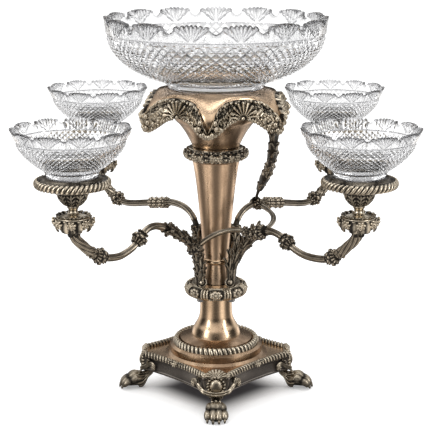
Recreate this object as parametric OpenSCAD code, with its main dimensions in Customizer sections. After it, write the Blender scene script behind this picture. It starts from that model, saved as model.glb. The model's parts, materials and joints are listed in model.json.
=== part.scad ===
// Four-branch epergne: a silver-plated stand on paw feet that carries a large cut-glass bowl
// on its capital and a small cut-glass bowl on each of four scroll branches.
// Millimetres. The origin is on the table under the middle of the base, +Z is up,
// and one corner of the base points along -Y.

/* [Base] */
// Height of the underside of the plinth above the table
foot_h = 26; // [23:1:34]
// Height of the plinth's side walls
plinth_h = 17; // [12:1:26]
// Distance from the axis to a canted corner of the plinth
plinth_corner_r = 81; // [78:1:96]
// Width of each canted corner
plinth_cant_w = 26; // [22:1:32]
// Depth that each side of the plinth curves in
plinth_incurve = 4; // [2:0.5:6]
// Thickness of the plinth's sheet
plinth_wall = 2; // [1.2:0.1:3]
// Width of the gadrooned border on the plinth's top edge
border_w = 7; // [5:0.5:9]
// Height of the gadrooned border
border_h = 5; // [3:0.5:8]
// How far the border stands out past the plinth's sides
border_proud = 2; // [1:0.5:4]
// Thickness of the plate that closes the plinth's underside
plate_t = 2.5; // [1.5:0.1:4]
// Distance from the axis to the tip of each paw
foot_reach = 112.5; // [108:0.5:126]
// Width of each paw
foot_w = 24; // [18:0.5:30]
// Height of each paw at its knuckles
paw_h = 21.5; // [18:0.5:22]
// Radius of the shield on each canted corner
shield_r = 8.5; // [6:0.5:9]
// How far the shield bulges
shield_bulge = 6; // [3:0.5:8]
// Thickness of the scroll bracket under each shield
bracket_d = 5; // [4:0.5:6]
// Length of the scroll bracket's arms along the plinth's sides
bracket_run = 14; // [10:0.5:18]
// Rise of the scroll bracket's arms
bracket_rise = 12; // [8:0.5:12]
// Radius of the round dome that rises from the plinth
dome_r = 52; // [50:0.5:54]
// Height of the dome
dome_h = 22.5; // [19:0.5:30]
// Size of the cove round the dome's foot
dome_fillet = 4; // [2:0.5:5]
// Width of the rope ring on the dome's shoulder
rope_w = 8; // [6:0.5:10]
// Height of the rope ring
rope_h = 7; // [5:0.5:9]

/* [Stem and column] */
// Thickness of the spun metal walls
metal_wall = 2.5; // [1.5:0.1:3.5]
// Radius of the bell-shaped stem at its foot
stem_r_low = 27.7; // [26:0.1:31]
// Radius of the stem at its waist
stem_r_top = 18; // [16:0.1:19.5]
// Height of the stem
stem_h = 46.5; // [36:0.5:70]
// Radius of the rosette collar that carries the branches
lower_collar_r = 36; // [34:0.5:44]
// Height of the rosette collar
lower_collar_h = 15; // [14:0.5:24]
// How far the rosette collar bulges past its flat faces
collar_bulge = 7; // [5:0.5:8]
// Radius of the column's neck at its foot
neck_r_low = 15.5; // [14.5:0.1:16]
// Radius of the column's neck at its narrowest
neck_r_top = 11.8; // [10:0.1:14]
// Height of the neck
neck_h = 22; // [14:0.5:30]
// Radius of the moulding between neck and shaft
moulding_r = 15; // [14:0.1:17]
// Height of the moulding
moulding_h = 6; // [4:0.5:9]
// Radius of the column's shaft at its foot
shaft_r_low = 13.5; // [12:0.1:14]
// Radius of the column's shaft at its top
shaft_r_top = 26; // [22:0.1:28]
// Height of the column's shaft
shaft_h = 111; // [100:1:140]
// Radius of the leaf collar above the shaft
upper_collar_r = 36.5; // [33:0.5:44]
// Height of the leaf collar
upper_collar_h = 16; // [12:0.5:22]

/* [Capital] */
// Height of the capital from the leaf collar to the bowl's seat
capital_h = 64; // [61:1:84]
// Radius of the inner cone at its foot
cone_r_low = 26; // [23:0.5:28]
// Distance from the axis to the fullest point of each drooping corner
tongue_r = 82; // [78:0.5:92]
// Distance from the axis to the tip of each drooping corner
tongue_tip_r = 76.5; // [74:0.5:82]
// How far each corner droops below the seat
tongue_drop = 42; // [40:0.5:48]
// Distance from the axis to the crest of the arch between two corners
arch_r = 65; // [62:0.5:68]
// How far the crest of the arch lies below the seat
arch_drop = 26; // [20:0.5:32]
// Thickness of the canopy's sheet
canopy_wall = 2.5; // [1.5:0.1:3]
// Thickness of the shell and leaf swag on each arch
swag_t = 3.5; // [2:0.1:6]
// Width of the plain tongue left bare at each drooping corner, at its top
bare_w = 80; // [60:1:84]
// How far the tip of that tongue lies below the seat
bare_drop = 31; // [26:0.5:34]
// Turn of the canopy against the base
capital_turn = 6; // [0:1:10]
// Thickness of the plate under the centre bowl
seat_t = 4; // [3:0.5:6]
// Height of the ring that keeps the centre bowl in place
seat_ring_h = 2.5; // [1.5:0.5:3.5]

/* [Centre bowl] */
// Radius of the centre bowl's rim
bowl_r = 120.4; // [110:0.1:132]
// Height of the centre bowl
bowl_h = 77; // [68:1:100]
// Radius of the cut line between diamonds and fans
bowl_mitre_r = 117; // [106:0.5:118]
// Height of that line above the bowl's foot
bowl_mitre_h = 54; // [44:1:60]
// Radius of the bowl's foot where it stands
bowl_foot_r = 52; // [51:0.1:53]
// Radius at the top of the bowl's foot
bowl_foot_top_r = 55.8; // [54:0.1:60]
// Height of the bowl's foot
bowl_foot_h = 7; // [6.5:0.5:12]
// Thickness of the glass
bowl_wall = 6; // [4:0.5:8]
// Number of fans round the rim
bowl_fans = 15; // [10:1:18]
// Width of the gap between two fans
bowl_gap_w = 15; // [8:0.5:20]
// Depth of the gap between two fans
bowl_gap_d = 7; // [3:0.5:9]

/* [Small bowls] */
// Radius of a small bowl's rim
small_r = 60.2; // [56:0.1:66]
// Height of a small bowl
small_h = 49; // [44:1:60]
// Radius of the cut line on a small bowl
small_mitre_r = 53.3; // [48:0.1:56]
// Height of that line above the small bowl's foot
small_mitre_h = 33; // [26:1:38]
// Radius of a small bowl's foot where it stands
small_foot_r = 25.5; // [23:0.1:27]
// Radius at the top of a small bowl's foot
small_foot_top_r = 27.5; // [25:0.1:31]
// Height of a small bowl's foot
small_foot_h = 6; // [5:0.5:8]
// Thickness of the glass
small_wall = 4.5; // [3:0.5:6]
// Number of fans round the rim
small_fans = 11; // [8:1:14]
// Width of the gap between two fans
small_gap_w = 9; // [5:0.5:13]
// Depth of the gap between two fans
small_gap_d = 4.5; // [2:0.5:6]

/* [Branches] */
// Distance from the axis to the socket at the end of each branch
arm_reach = 200; // [186:1:230]
// Height of the socket above the rosette collar
arm_rise = 92; // [80:1:110]
// Distance from the axis to the root of each branch
arm_root_r = 24; // [23.5:0.1:26]
// Diameter of the plain tube of a branch
tube_d = 8; // [6:0.5:9]
// Diameter of the leafy stalk at the root of a branch
stalk_d = 12; // [10:0.5:13]
// Diameter of the knuckles on a branch
knuckle_d = 16; // [12:0.5:20]
// Diameter of the fluted length under the socket
fluted_d = 11; // [8:0.5:12]
// Height of the leaf socket at the end of a branch
socket_h = 10; // [9:0.5:14]
// Radius of the leaf socket's lip
socket_r = 11.5; // [9:0.5:12.5]
// Diameter of the scroll tubes that tie the branches together
tie_d = 6; // [4:0.5:8]
// Rise of the front tie between two branches
front_tie_arch = 14; // [8:1:20]
// How far the front tie bows out past the column
front_tie_bow = 7; // [4:0.5:14]
// How far the side tie bows out
side_tie_bow = 17; // [8:0.5:26]
// Diameter of the leafy stay up to the capital
stay_d = 9; // [6:0.5:12]
// How far the stay bows out
stay_bow = 5; // [3:0.5:12]

/* [Dish holders] */
// Radius of the leaf pan
pan_r = 19.5; // [17:0.5:24]
// Height of the leaf pan above its socket
pan_h = 11; // [9:0.5:16]
// Radius of the pan's plug
plug_r = 4; // [3.5:0.1:5]
// Length of the pan's plug
plug_len = 8; // [5:0.5:8.5]
// Radius of the dish's peg
peg_r = 3; // [2:0.1:3.4]
// Length of the dish's peg
peg_len = 9; // [5:0.5:10]
// Height of the leaf cup and its neck
cup_h = 22; // [18:0.5:32]
// Radius of the leaf cup
cup_r = 17; // [12:0.5:20]
// Radius of the neck below the leaf cup
cup_neck_r = 5.8; // [4.5:0.1:6.5]
// Radius of the dish's gadrooned rim
dish_r = 38.5; // [35:0.5:46]
// Height of the dish
dish_h = 16; // [13:0.5:22]
// Radius of the gadroons on the dish's rim
dish_bead = 4; // [3:0.5:5]
// Radius of the raised seat in the dish
dish_seat_r = 28.5; // [28:0.1:30.5]

/* [Fasteners] */
// Radius of the rod that draws the stand together
rod_r = 4; // [3:0.1:5]
// Radius of the rod's nuts across their corners
nut_r = 7; // [6.5:0.1:9]
// Height of the rod's nuts
nut_h = 4; // [3:0.5:5]
// Radius of the studs in the feet and branches
stud_r = 2.5; // [2:0.1:2.8]
// Radius of the stud nuts across their corners
stud_nut_r = 4.5; // [4:0.1:5]
// Height of the stud nuts
stud_nut_h = 3.5; // [2.5:0.5:5]
// Distance from the axis to the stud of a foot
foot_stud_at = 71; // [66:0.5:72]

/* [Fits] */
// Radial clearance of a turning or lifting fit
fit_gap = 0.05; // [0.02:0.01:0.1]
// Radial clearance of a hole round a rod or stud
hole_gap = 0.3; // [0.1:0.05:0.6]
// Clearance between a piece and what it is soldered beside
seam_gap = 0.2; // [0.1:0.05:0.3]

/* [Hidden] */
$fn = 96;

// Colours of the finishes
silver = [0.66, 0.57, 0.45];
warm_silver = [0.70, 0.56, 0.40];
dark_silver = [0.42, 0.36, 0.29];
glass = [0.85, 0.88, 0.90, 0.5];
steel = [0.60, 0.60, 0.62];

// Directions of the corners and of the branches between them, in degrees from +X
corner_count = 4;
quarter = 360 / corner_count;
right = 0;
back = quarter;
left = 2 * quarter;
front = 3 * quarter;
back_right = right + quarter / 2;
back_left = back + quarter / 2;
front_left = left + quarter / 2;
front_right = front + quarter / 2;

// The canopy has six drooping corners, one of them nearly at the front
lobe_count = 6;
lobe = 360 / lobe_count;

// Levels of the stack
z_plinth = foot_h;
z_plinth_top = z_plinth + plinth_h;
z_dome_top = z_plinth_top + dome_h;
z_stem_top = z_dome_top + stem_h;
z_collar_top = z_stem_top + lower_collar_h;
z_neck_top = z_collar_top + neck_h;
z_moulding_top = z_neck_top + moulding_h;
z_shaft_top = z_moulding_top + shaft_h;
z_upper_top = z_shaft_top + upper_collar_h;
z_seat = z_upper_top + capital_h;
z_socket = z_collar_top + arm_rise;
z_pan = z_socket + socket_h;
z_stem_seat = z_pan + pan_h;
z_dish = z_stem_seat + cup_h;
z_small = z_dish + dish_h;

// The cone stands under the seat, inside the narrowest ring of the canopy
cone_r_top = min(bowl_foot_r, arch_r) - canopy_wall - hole_gap - seam_gap;

// The dome's shoulder, where the rope ring lies
rope_r = 0.933 * dome_r;
rope_z = 0.57 * dome_h;
dome_foot_r = 1.115 * dome_r;

// Points round a tube, rings between two points of a route, and points round the canopy
tube_sides = 12;
route_steps = 3;
canopy_sides = 84;

// Routes of the branches: share of the run from root to socket, share of the rise, and tube diameter
thin = tube_d;
leafy = stalk_d;
sheath = (stalk_d + tube_d) / 2;
route_front_left = [
    [0, 0, leafy], [0.01, 0.22, leafy], [0.035, 0.42, leafy], [0.09, 0.56, sheath],
    [0.18, 0.69, sheath], [0.28, 0.80, sheath], [0.36, 0.865, thin], [0.42, 0.87, thin],
    [0.465, 0.835, thin], [0.508, 0.77, thin], [0.555, 0.69, thin], [0.61, 0.645, thin],
    [0.67, 0.62, thin], [0.75, 0.635, thin], [0.815, 0.68, thin], [0.865, 0.735, fluted_d],
    [0.925, 0.825, fluted_d], [0.98, 0.93, fluted_d], [1, 1, fluted_d]
];
route_front_right = [
    [0, 0, leafy], [0.004, 0.18, leafy], [0.045, 0.36, leafy], [0.115, 0.54, leafy],
    [0.18, 0.675, leafy], [0.23, 0.74, sheath], [0.285, 0.775, sheath], [0.345, 0.79, thin],
    [0.41, 0.765, thin], [0.465, 0.71, thin], [0.53, 0.645, thin], [0.62, 0.605, thin],
    [0.74, 0.615, thin], [0.82, 0.67, thin], [0.87, 0.735, fluted_d], [0.925, 0.825, fluted_d],
    [0.98, 0.93, fluted_d], [1, 1, fluted_d]
];
route_back = [
    [0, 0, leafy], [0.01, 0.2, leafy], [0.022, 0.41, leafy], [0.036, 0.60, sheath],
    [0.078, 0.75, thin], [0.155, 0.835, thin], [0.27, 0.855, thin], [0.385, 0.815, thin],
    [0.49, 0.78, thin], [0.65, 0.72, thin], [0.745, 0.705, thin], [0.815, 0.735, thin],
    [0.875, 0.79, fluted_d], [0.93, 0.86, fluted_d], [0.982, 0.94, fluted_d], [1, 1, fluted_d]
];
// Knuckles on each route: place as a count of points along it, and half length in the same count
knuckles_front_left = [[9, 0.8], [14, 0.7]];
knuckles_front_right = [[9, 0.7], [13, 0.5]];
knuckles_back = [[6.7, 0.35], [7.5, 0.35], [11, 0.6]];

// Outline of the canopy, from the seat to its edge: down a drooping corner and down an arch.
// Each point is a share of the reach past the seat and a share of the drop.
corner_outline = [[0, 0], [0.4, 0.12], [0.7, 0.28], [0.92, 0.48], [1, 0.71], [0.86, 1]];
arch_outline = [[0, 0], [0.75, 0.06], [1, 0.19], [1, 0.44], [1, 0.71], [1, 1]];
corner_power = 1.8;

// The same outlines in millimetres: distance from the axis and drop below the seat
corner_points = [for (i = [0 : len(corner_outline) - 1])
    let (c = corner_outline[i])
    i == len(corner_outline) - 1 ? [tongue_tip_r, tongue_drop]
        : [mix(bowl_foot_r, tongue_r, c[0]), c[1] * tongue_drop]];
arch_points = [for (a = arch_outline) [mix(bowl_foot_r, arch_r, a[0]), a[1] * arch_drop]];

// Point of the outlines where the swags' upper edges have their crests
swag_crest = 2;

// Half the outline of the plain tongue left bare at a drooping corner, from its tip upwards, as
// shares of its half width and of its height
bare_outline = [
    [0, 0], [0.12, 0.26], [0.23, 0.54], [0.34, 0.70], [0.5, 0.92], [0.7, 1], [1, 1.05], [1, 1.2]
];

// Outlines of the turned pieces, as shares of the radius step and of the height
stem_outline = [
    [0, 0], [0.06, 0.06], [0.28, 0.19], [0.62, 0.31], [0.87, 0.43], [0.97, 0.56], [1, 0.75], [1, 1]
];
neck_outline = [[0, 0], [0.35, 0.2], [0.75, 0.5], [1, 0.85], [1, 1]];
shaft_outline = [[0, 0], [0.28, 0.34], [0.6, 0.7], [0.84, 0.9], [1, 1]];
cone_outline = [[0, 0], [0.06, 0.06], [0.32, 0.25], [0.6, 0.4], [0.85, 0.5], [0.98, 0.66], [1, 1]];

function mix(a, b, share) = a + (b - a) * share;
function unit(v) = v / norm(v);
function polar(r, angle, z) = [r * cos(angle), r * sin(angle), z];
function last(list) = list[len(list) - 1];
function flipped(list) = [for (i = [len(list) - 1 : -1 : 0]) list[i]];

// A smooth curve through points of any number of values
function curve_at(a, b, c, d, t) =
    0.5 * (2 * b + (c - a) * t + (2 * a - 5 * b + 4 * c - d) * t * t + (3 * b - a - 3 * c + d) * t * t * t);
function curve(points, steps) = concat(
    [for (i = [0 : len(points) - 2], k = [0 : steps - 1])
        curve_at(points[max(i - 1, 0)], points[i], points[i + 1], points[min(i + 2, len(points) - 1)],
            k / steps)],
    [last(points)]);

// Points of an outline between two radii and two heights
function turned_points(outline, r_from, r_to, height, steps = 3) =
    [for (p = curve(outline, steps)) [mix(r_from, r_to, p[0]), p[1] * height]];

// The side of a bowl: part ellipse and part straight line from the foot to the cut line, then the rim
bowl_curve_steps = 8;
straight_share = 0.21;
function bowl_side(foot_r, foot_h, mitre_r, mitre_h, rim_r, rim_h) = concat(
    [for (k = [0 : bowl_curve_steps])
        let (angle = 90 * k / bowl_curve_steps,
            out = sin(angle),
            up = mix(1 - cos(angle), out, straight_share))
        [mix(foot_r, mitre_r, out), mix(foot_h, mitre_h, up)]],
    [[rim_r, rim_h]]);

// Faces of a closed tube of rings, all with the same number of points
function tube_faces(rings, sides) = concat(
    [[for (i = [0 : sides - 1]) i]],
    [for (k = [0 : rings - 2], i = [0 : sides - 1], half = [0, 1])
        let (a = k * sides + i,
            b = k * sides + (i + 1) % sides,
            c = b + sides,
            d = a + sides)
        half == 0 ? [a, d, c] : [a, c, b]],
    [[for (i = [sides - 1 : -1 : 0]) (rings - 1) * sides + i]]);

// Direction of a path at one of its points
function heading(path, k, ends) =
    k == 0 && ends != undef ? ends[0]
    : k == len(path) - 1 && ends != undef ? ends[1]
    : unit(path[min(k + 1, len(path) - 1)] - path[max(k - 1, 0)]);

// A round tube along a path, with a radius at each point and one side kept square to a direction
module swept_tube(path, radii, across, ends = undef, sides = tube_sides) {
    points = [for (k = [0 : len(path) - 1])
        let (n = heading(path, k, ends),
            v = unit(cross(n, across)),
            u = cross(v, n))
        for (i = [0 : sides - 1])
            let (angle = 360 * i / sides)
            path[k] + radii[k] * (cos(angle) * u + sin(angle) * v)];
    polyhedron(points, tube_faces(len(path), sides));
}

// A hollow turned piece with the given outer points, standing on z = 0
module turned_shell(points, wall) {
    inner = [for (p = flipped(points)) [p[0] - wall, p[1]]];
    rotate_extrude() polygon(concat(points, inner));
}

// The plinth's outline as a solid slab, grown outwards by some millimetres
module plinth_slab(height, grow = 0) {
    side_at = (plinth_corner_r + plinth_cant_w / 2) / sqrt(2);
    half_side = side_at - plinth_cant_w / sqrt(2);
    side_r = (half_side * half_side + plinth_incurve * plinth_incurve) / (2 * plinth_incurve);
    corner_w = 2 * (plinth_corner_r + grow);
    difference() {
        translate([0, 0, height / 2]) cube([corner_w, corner_w, height], center = true);
        for (angle = [45 : 90 : 315])
            rotate(angle) translate([side_at - plinth_incurve + side_r, 0, -1])
                cylinder(r = side_r - grow, h = height + 2, $fn = 256);
    }
}

module base_plinth() {
    color(warm_silver)
    translate([0, 0, z_plinth])
    difference() {
        plinth_slab(plinth_h);
        translate([0, 0, -1]) plinth_slab(plinth_h - plinth_wall + 1, -plinth_wall);
        cylinder(r = rod_r + hole_gap, h = plinth_h + 1);
    }
}

module base_border() {
    color(dark_silver)
    translate([0, 0, z_plinth_top])
    difference() {
        plinth_slab(border_h, border_proud);
        translate([0, 0, -1]) plinth_slab(border_h + 2, border_proud - border_w);
        translate([0, 0, -1]) cylinder(r = dome_foot_r + seam_gap, h = border_h + 2);
    }
}

module base_plate() {
    color(silver)
    translate([0, 0, z_plinth])
    difference() {
        plinth_slab(plate_t, -plinth_wall - seam_gap);
        translate([0, 0, -1]) cylinder(r = rod_r + hole_gap, h = plate_t + 2);
        for (angle = [front, right, back, left])
            rotate(angle) translate([foot_stud_at, 0, -1])
                cylinder(r = stud_r + hole_gap, h = plate_t + 2);
    }
}

// Rings of a paw from the ankle to the toes: distance out, height, half width, half height,
// and lean of the ring, from 0 where it lies flat to 90 where it stands upright
paw_sides = 24;
toe_count = 4;
toe_groove = 0.16;
function paw_rings() =
    let (ankle = foot_stud_at + 1, run = foot_reach - ankle, half_w = foot_w / 2)
    [
        [ankle, foot_h, 0.55 * half_w, 0.27 * foot_h, 0],
        [ankle + 0.06 * run, 0.85 * foot_h, 0.45 * half_w, 0.2 * foot_h, 10],
        [ankle + 0.17 * run, 0.67 * foot_h, 0.42 * half_w, 0.16 * foot_h, 40],
        [ankle + 0.34 * run, 0.62 * paw_h, 0.6 * half_w, 0.32 * paw_h, 65],
        [ankle + 0.52 * run, 0.49 * paw_h, 0.88 * half_w, 0.5 * paw_h, 80],
        [ankle + 0.68 * run, 0.46 * paw_h, half_w, 0.54 * paw_h, 90],
        [ankle + 0.82 * run, 0.4 * paw_h, half_w, 0.47 * paw_h, 90],
        [ankle + 0.93 * run, 0.33 * paw_h, 0.9 * half_w, 0.38 * paw_h, 90],
        [ankle + run, 0.26 * paw_h, 0.6 * half_w, 0.14 * paw_h, 90]
    ];

// One paw foot pointing along +X: a lofted leg and paw with grooved toes, flat where it stands
module paw_foot(angle) {
    rings = curve(paw_rings(), 2);
    points = [for (k = [0 : len(rings) - 1], i = [0 : paw_sides - 1])
        let (ring = rings[k],
            turn = 360 * i / paw_sides,
            side = cos(turn),
            toe = max(0, 2 * k / (len(rings) - 1) - 1),
            groove = 1 - toe_groove * toe * (0.5 - 0.5 * cos(360 * toe_count * (side + 1) / 2)),
            up = ring[3] * sin(turn) * groove)
        [ring[0] + up * cos(ring[4]), ring[2] * side, max(ring[1] + up * sin(ring[4]), 0)]];
    color(dark_silver)
    rotate(angle) {
        polyhedron(points, tube_faces(len(rings), paw_sides));
        translate([foot_stud_at, 0, foot_h])
            cylinder(r = stud_r, h = plate_t + stud_nut_h + 1);
    }
}

// A point beside the plinth, some way along the side from the canted corner that points along +X
function beside_plinth(along, off, z) =
    let (half_cant = plinth_cant_w / 2,
        share = along / (sqrt(2) * (plinth_corner_r - half_cant)),
        out = off - 4 * plinth_incurve * share * (1 - share))
    [plinth_corner_r + (out - along) / sqrt(2), half_cant + (out + along) / sqrt(2), z];

// The shield and the scroll bracket on one canted corner, pointing along +X. The bracket's ends
// are thicker by this factor.
volute = 1.3;
module corner_scroll(angle) {
    shield_z = z_plinth_top - shield_r;
    tube_r = bracket_d / 2;
    off = tube_r + seam_gap;
    half_cant = plinth_cant_w / 2;
    low = shield_z - shield_r - tube_r / 2;
    arm = [
        [plinth_corner_r + off, 0, low],
        [plinth_corner_r + off, 0.6 * half_cant, low + 0.1 * bracket_rise],
        [plinth_corner_r + off, half_cant + off * tan(22.5), low + 0.3 * bracket_rise],
        beside_plinth(bracket_run / 2, off, low + 0.65 * bracket_rise),
        beside_plinth(bracket_run, volute * off, low + bracket_rise)
    ];
    near_side = [for (p = flipped(arm)) [p[0], -p[1], p[2]]];
    path = curve(concat(near_side, [for (i = [1 : len(arm) - 1]) arm[i]]), 2);
    radii = [for (k = [0 : len(path) - 1])
        let (share = abs(2 * k / (len(path) - 1) - 1))
        tube_r * (share > 0.85 ? volute : 1)];
    color(dark_silver)
    rotate(angle) {
        translate([plinth_corner_r, 0, shield_z]) rotate([0, 90, 0])
            rotate_extrude() polygon(concat([[0, 0]],
                [for (k = [0 : 6]) [shield_r * cos(15 * k), shield_bulge * sin(15 * k)]]));
        swept_tube(path, radii, [0, 0, 1], sides = 8);
    }
}

module base_dome() {
    hole = rod_r + hole_gap;
    ledge_in = rope_r - rope_w;
    hollow = dome_h - metal_wall;
    color(warm_silver)
    translate([0, 0, z_plinth_top])
    rotate_extrude() polygon([
        [dome_foot_r, 0], [dome_r + 0.6 * dome_fillet, 0.3 * dome_fillet], [dome_r, dome_fillet],
        [dome_r, rope_z - dome_fillet / 2],
        [rope_r, rope_z], [ledge_in, rope_z], [ledge_in, dome_h - 3.5], [stem_r_low, dome_h],
        [hole, dome_h], [hole, hollow], [stem_r_low - 1, hollow],
        [ledge_in - metal_wall, hollow - 3.5], [ledge_in - metal_wall, rope_z - metal_wall],
        [rope_r - metal_wall, rope_z - metal_wall],
        [dome_r - metal_wall, rope_z - metal_wall - dome_fillet],
        [dome_r - metal_wall, 0]
    ]);
}

module base_rope_ring() {
    inside = rope_r - rope_w + seam_gap;
    middle = (rope_r + inside) / 2;
    half_w = (rope_r - inside) / 2;
    color(dark_silver)
    translate([0, 0, z_plinth_top + rope_z])
    rotate_extrude() polygon(concat(
        [[inside, 0], [rope_r, 0]],
        [for (angle = [22.5 : 22.5 : 157.5])
            [middle + half_w * cos(angle), 1 + (rope_h - 1) * sin(angle)]]));
}

module lower_stem() {
    color(warm_silver)
    translate([0, 0, z_dome_top])
        turned_shell(turned_points(stem_outline, stem_r_low, stem_r_top, stem_h), metal_wall);
}

// A round collar with flat top and bottom, drilled for the rod
module round_collar(r, height, r_low, r_top) {
    bulge = [for (k = [0 : 8])
        let (angle = -75 + 150 * k / 8)
        [mix(mix(r_low, r_top, k / 8), r, (cos(angle) - cos(75)) / (1 - cos(75))),
            height * (0.5 + 0.5 * sin(angle) / sin(75))]];
    rotate_extrude() polygon(concat(
        [[rod_r + hole_gap, 0]], bulge, [[rod_r + hole_gap, height]]));
}

module lower_collar() {
    color(dark_silver)
    translate([0, 0, z_stem_top])
    difference() {
        round_collar(lower_collar_r, lower_collar_h, lower_collar_r - collar_bulge,
            lower_collar_r - collar_bulge);
        for (angle = [front_left, front_right, back_right, back_left])
            rotate(angle) translate([arm_root_r, 0, -1])
                cylinder(r = stud_r + hole_gap, h = lower_collar_h + 2);
    }
}

module column_neck() {
    color(warm_silver)
    translate([0, 0, z_collar_top])
        turned_shell(turned_points(neck_outline, neck_r_low, neck_r_top, neck_h), metal_wall);
}

module column_moulding() {
    color(warm_silver)
    translate([0, 0, z_neck_top])
        round_collar(moulding_r, moulding_h, neck_r_top, shaft_r_low);
}

module column_shaft() {
    color(warm_silver)
    translate([0, 0, z_moulding_top])
        turned_shell(turned_points(shaft_outline, shaft_r_low, shaft_r_top, shaft_h), metal_wall);
}

module upper_collar() {
    color(dark_silver)
    translate([0, 0, z_shaft_top])
        round_collar(upper_collar_r, upper_collar_h, shaft_r_top + 2, cone_r_low);
}

module capital_cone() {
    color(warm_silver)
    translate([0, 0, z_upper_top])
        turned_shell(turned_points(cone_outline, cone_r_low, cone_r_top, capital_h - seat_t), metal_wall);
}

// How far the canopy's plan leans towards a drooping corner at an angle: 1 at the corner, 0 at an arch
function corner_share(angle) = pow(0.5 + 0.5 * cos(lobe_count * angle), corner_power);

// A point of an outline at a place that may lie between two of its points
function outline_at(outline, place) =
    let (low = min(floor(place), len(outline) - 2))
    mix(outline[low], outline[low + 1], place - low);

// One point of the canopy's sheet, at an angle from its front corner and grown by some millimetres
function canopy_point(place, angle, grow) =
    let (corner = outline_at(corner_points, place),
        arch = outline_at(arch_points, place),
        p = mix(arch, corner, corner_share(angle)))
    polar(p[0] + grow, front + angle - capital_turn, z_seat - p[1]);

// A sheet of the canopy between two growths, from lists of angles and of places on the outlines
module canopy_sheet(angles, places, grow_in, grow_out, closed) {
    columns = len(angles);
    rows = len(places);
    count = closed ? columns : columns - 1;
    points = [for (grow = [grow_out, grow_in], i = [0 : columns - 1], k = [0 : rows - 1])
        canopy_point(places[k], angles[i], grow)];
    sheet = columns * rows;
    skin = [for (i = [0 : count - 1], k = [0 : rows - 2])
        let (a = i * rows + k,
            b = ((i + 1) % columns) * rows + k)
        [a, a + 1, b + 1, b]];
    edge = [for (i = [0 : count - 1], k = [0, rows - 1])
        let (a = i * rows + k,
            b = ((i + 1) % columns) * rows + k)
        k == 0 ? [a, b, b + sheet, a + sheet] : [b, a, a + sheet, b + sheet]];
    side = closed ? [] : [for (i = [0, columns - 1], k = [0 : rows - 2])
        let (a = i * rows + k)
        i == 0 ? [a + 1, a, a + sheet, a + 1 + sheet] : [a, a + 1, a + 1 + sheet, a + sheet]];
    outside = [for (q = concat(skin, edge, side)) flipped(q)];
    // Both skins are split along the same diagonals, so that one sheet lies evenly over another
    inside = [for (q = skin) [for (i = [1, 2, 3, 0]) q[i] + sheet]];
    polyhedron(points, [for (q = concat(outside, inside), half = [0, 1])
        half == 0 ? [q[0], q[1], q[2]] : [q[0], q[2], q[3]]]);
}

module capital_canopy() {
    angles = [for (i = [0 : canopy_sides - 1]) 360 * i / canopy_sides];
    places = [for (k = [0 : len(corner_outline) - 1]) k];
    color(warm_silver)
        canopy_sheet(angles, places, -canopy_wall, 0, true);
}

// The plain tongue at a drooping corner that points along +X, as a solid that is cut from the swags
module bare_tongue() {
    half = [for (p = bare_outline) [p[0] * bare_w / 2, z_seat - bare_drop * (1 - p[1])]];
    other = [for (p = flipped(half)) [-p[0], p[1]]];
    translate([bowl_foot_r / 2, 0, 0]) rotate([90, 0, 90])
        linear_extrude(height = tongue_r) polygon(concat(half, [for (i = [0 : len(other) - 2]) other[i]]));
}

module capital_swag(middle) {
    columns = canopy_sides / lobe_count;
    inset = seam_gap / tongue_r * 180 / PI;
    angles = [for (i = [0 : columns])
        let (turn = lobe * (i / columns - 0.5))
        middle + min(max(turn, inset - lobe / 2), lobe / 2 - inset)];
    places = [for (k = [swag_crest : len(corner_outline) - 1]) k];
    color(dark_silver)
    difference() {
        canopy_sheet(angles, places, 2 * seam_gap, swag_t, false);
        for (corner = [middle - lobe / 2, middle + lobe / 2])
            rotate(front + corner - capital_turn) bare_tongue();
    }
}

module bowl_seat() {
    edge = bowl_foot_r - canopy_wall - seam_gap;
    ring_r = bowl_foot_r - bowl_wall - hole_gap;
    color(silver)
    translate([0, 0, z_seat - seat_t])
    rotate_extrude() polygon([
        [rod_r + hole_gap, 0], [edge, 0], [edge, seat_t], [ring_r, seat_t],
        [ring_r, seat_t + seat_ring_h], [ring_r - metal_wall, seat_t + seat_ring_h],
        [ring_r - metal_wall, seat_t], [rod_r + hole_gap, seat_t]
    ]);
}

// A cut-glass bowl on a ring foot, with gaps between the fans of its rim
module cut_bowl(rim_r, rim_h, mitre_r, mitre_h, foot_r, foot_top_r, foot_h, wall, fans, gap_w, gap_d) {
    outer = bowl_side(foot_top_r, foot_h, mitre_r, mitre_h, rim_r, rim_h);
    inner = bowl_side(0.8 * foot_top_r, foot_h + wall, mitre_r - wall, mitre_h, rim_r - wall, rim_h);
    gap_r = (gap_w * gap_w / 4 + gap_d * gap_d) / (2 * gap_d);
    difference() {
        rotate_extrude() polygon(concat(
            [[0, foot_h - 1], [foot_r - wall, foot_h - 1], [foot_r - wall, 0], [foot_r, 0]],
            outer, flipped(inner), [[0, foot_h + wall]]));
        for (i = [0 : fans - 1])
            rotate(90 + 360 * (i + 0.5) / fans) translate([rim_r - 3 * wall, 0, rim_h - gap_d + gap_r])
                rotate([0, 90, 0]) cylinder(r = gap_r, h = 6 * wall, $fn = 48);
    }
}

module centre_bowl() {
    color(glass)
    translate([0, 0, z_seat])
        cut_bowl(bowl_r, bowl_h, bowl_mitre_r, bowl_mitre_h, bowl_foot_r, bowl_foot_top_r, bowl_foot_h,
            bowl_wall, bowl_fans, bowl_gap_w, bowl_gap_d);
}

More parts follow.
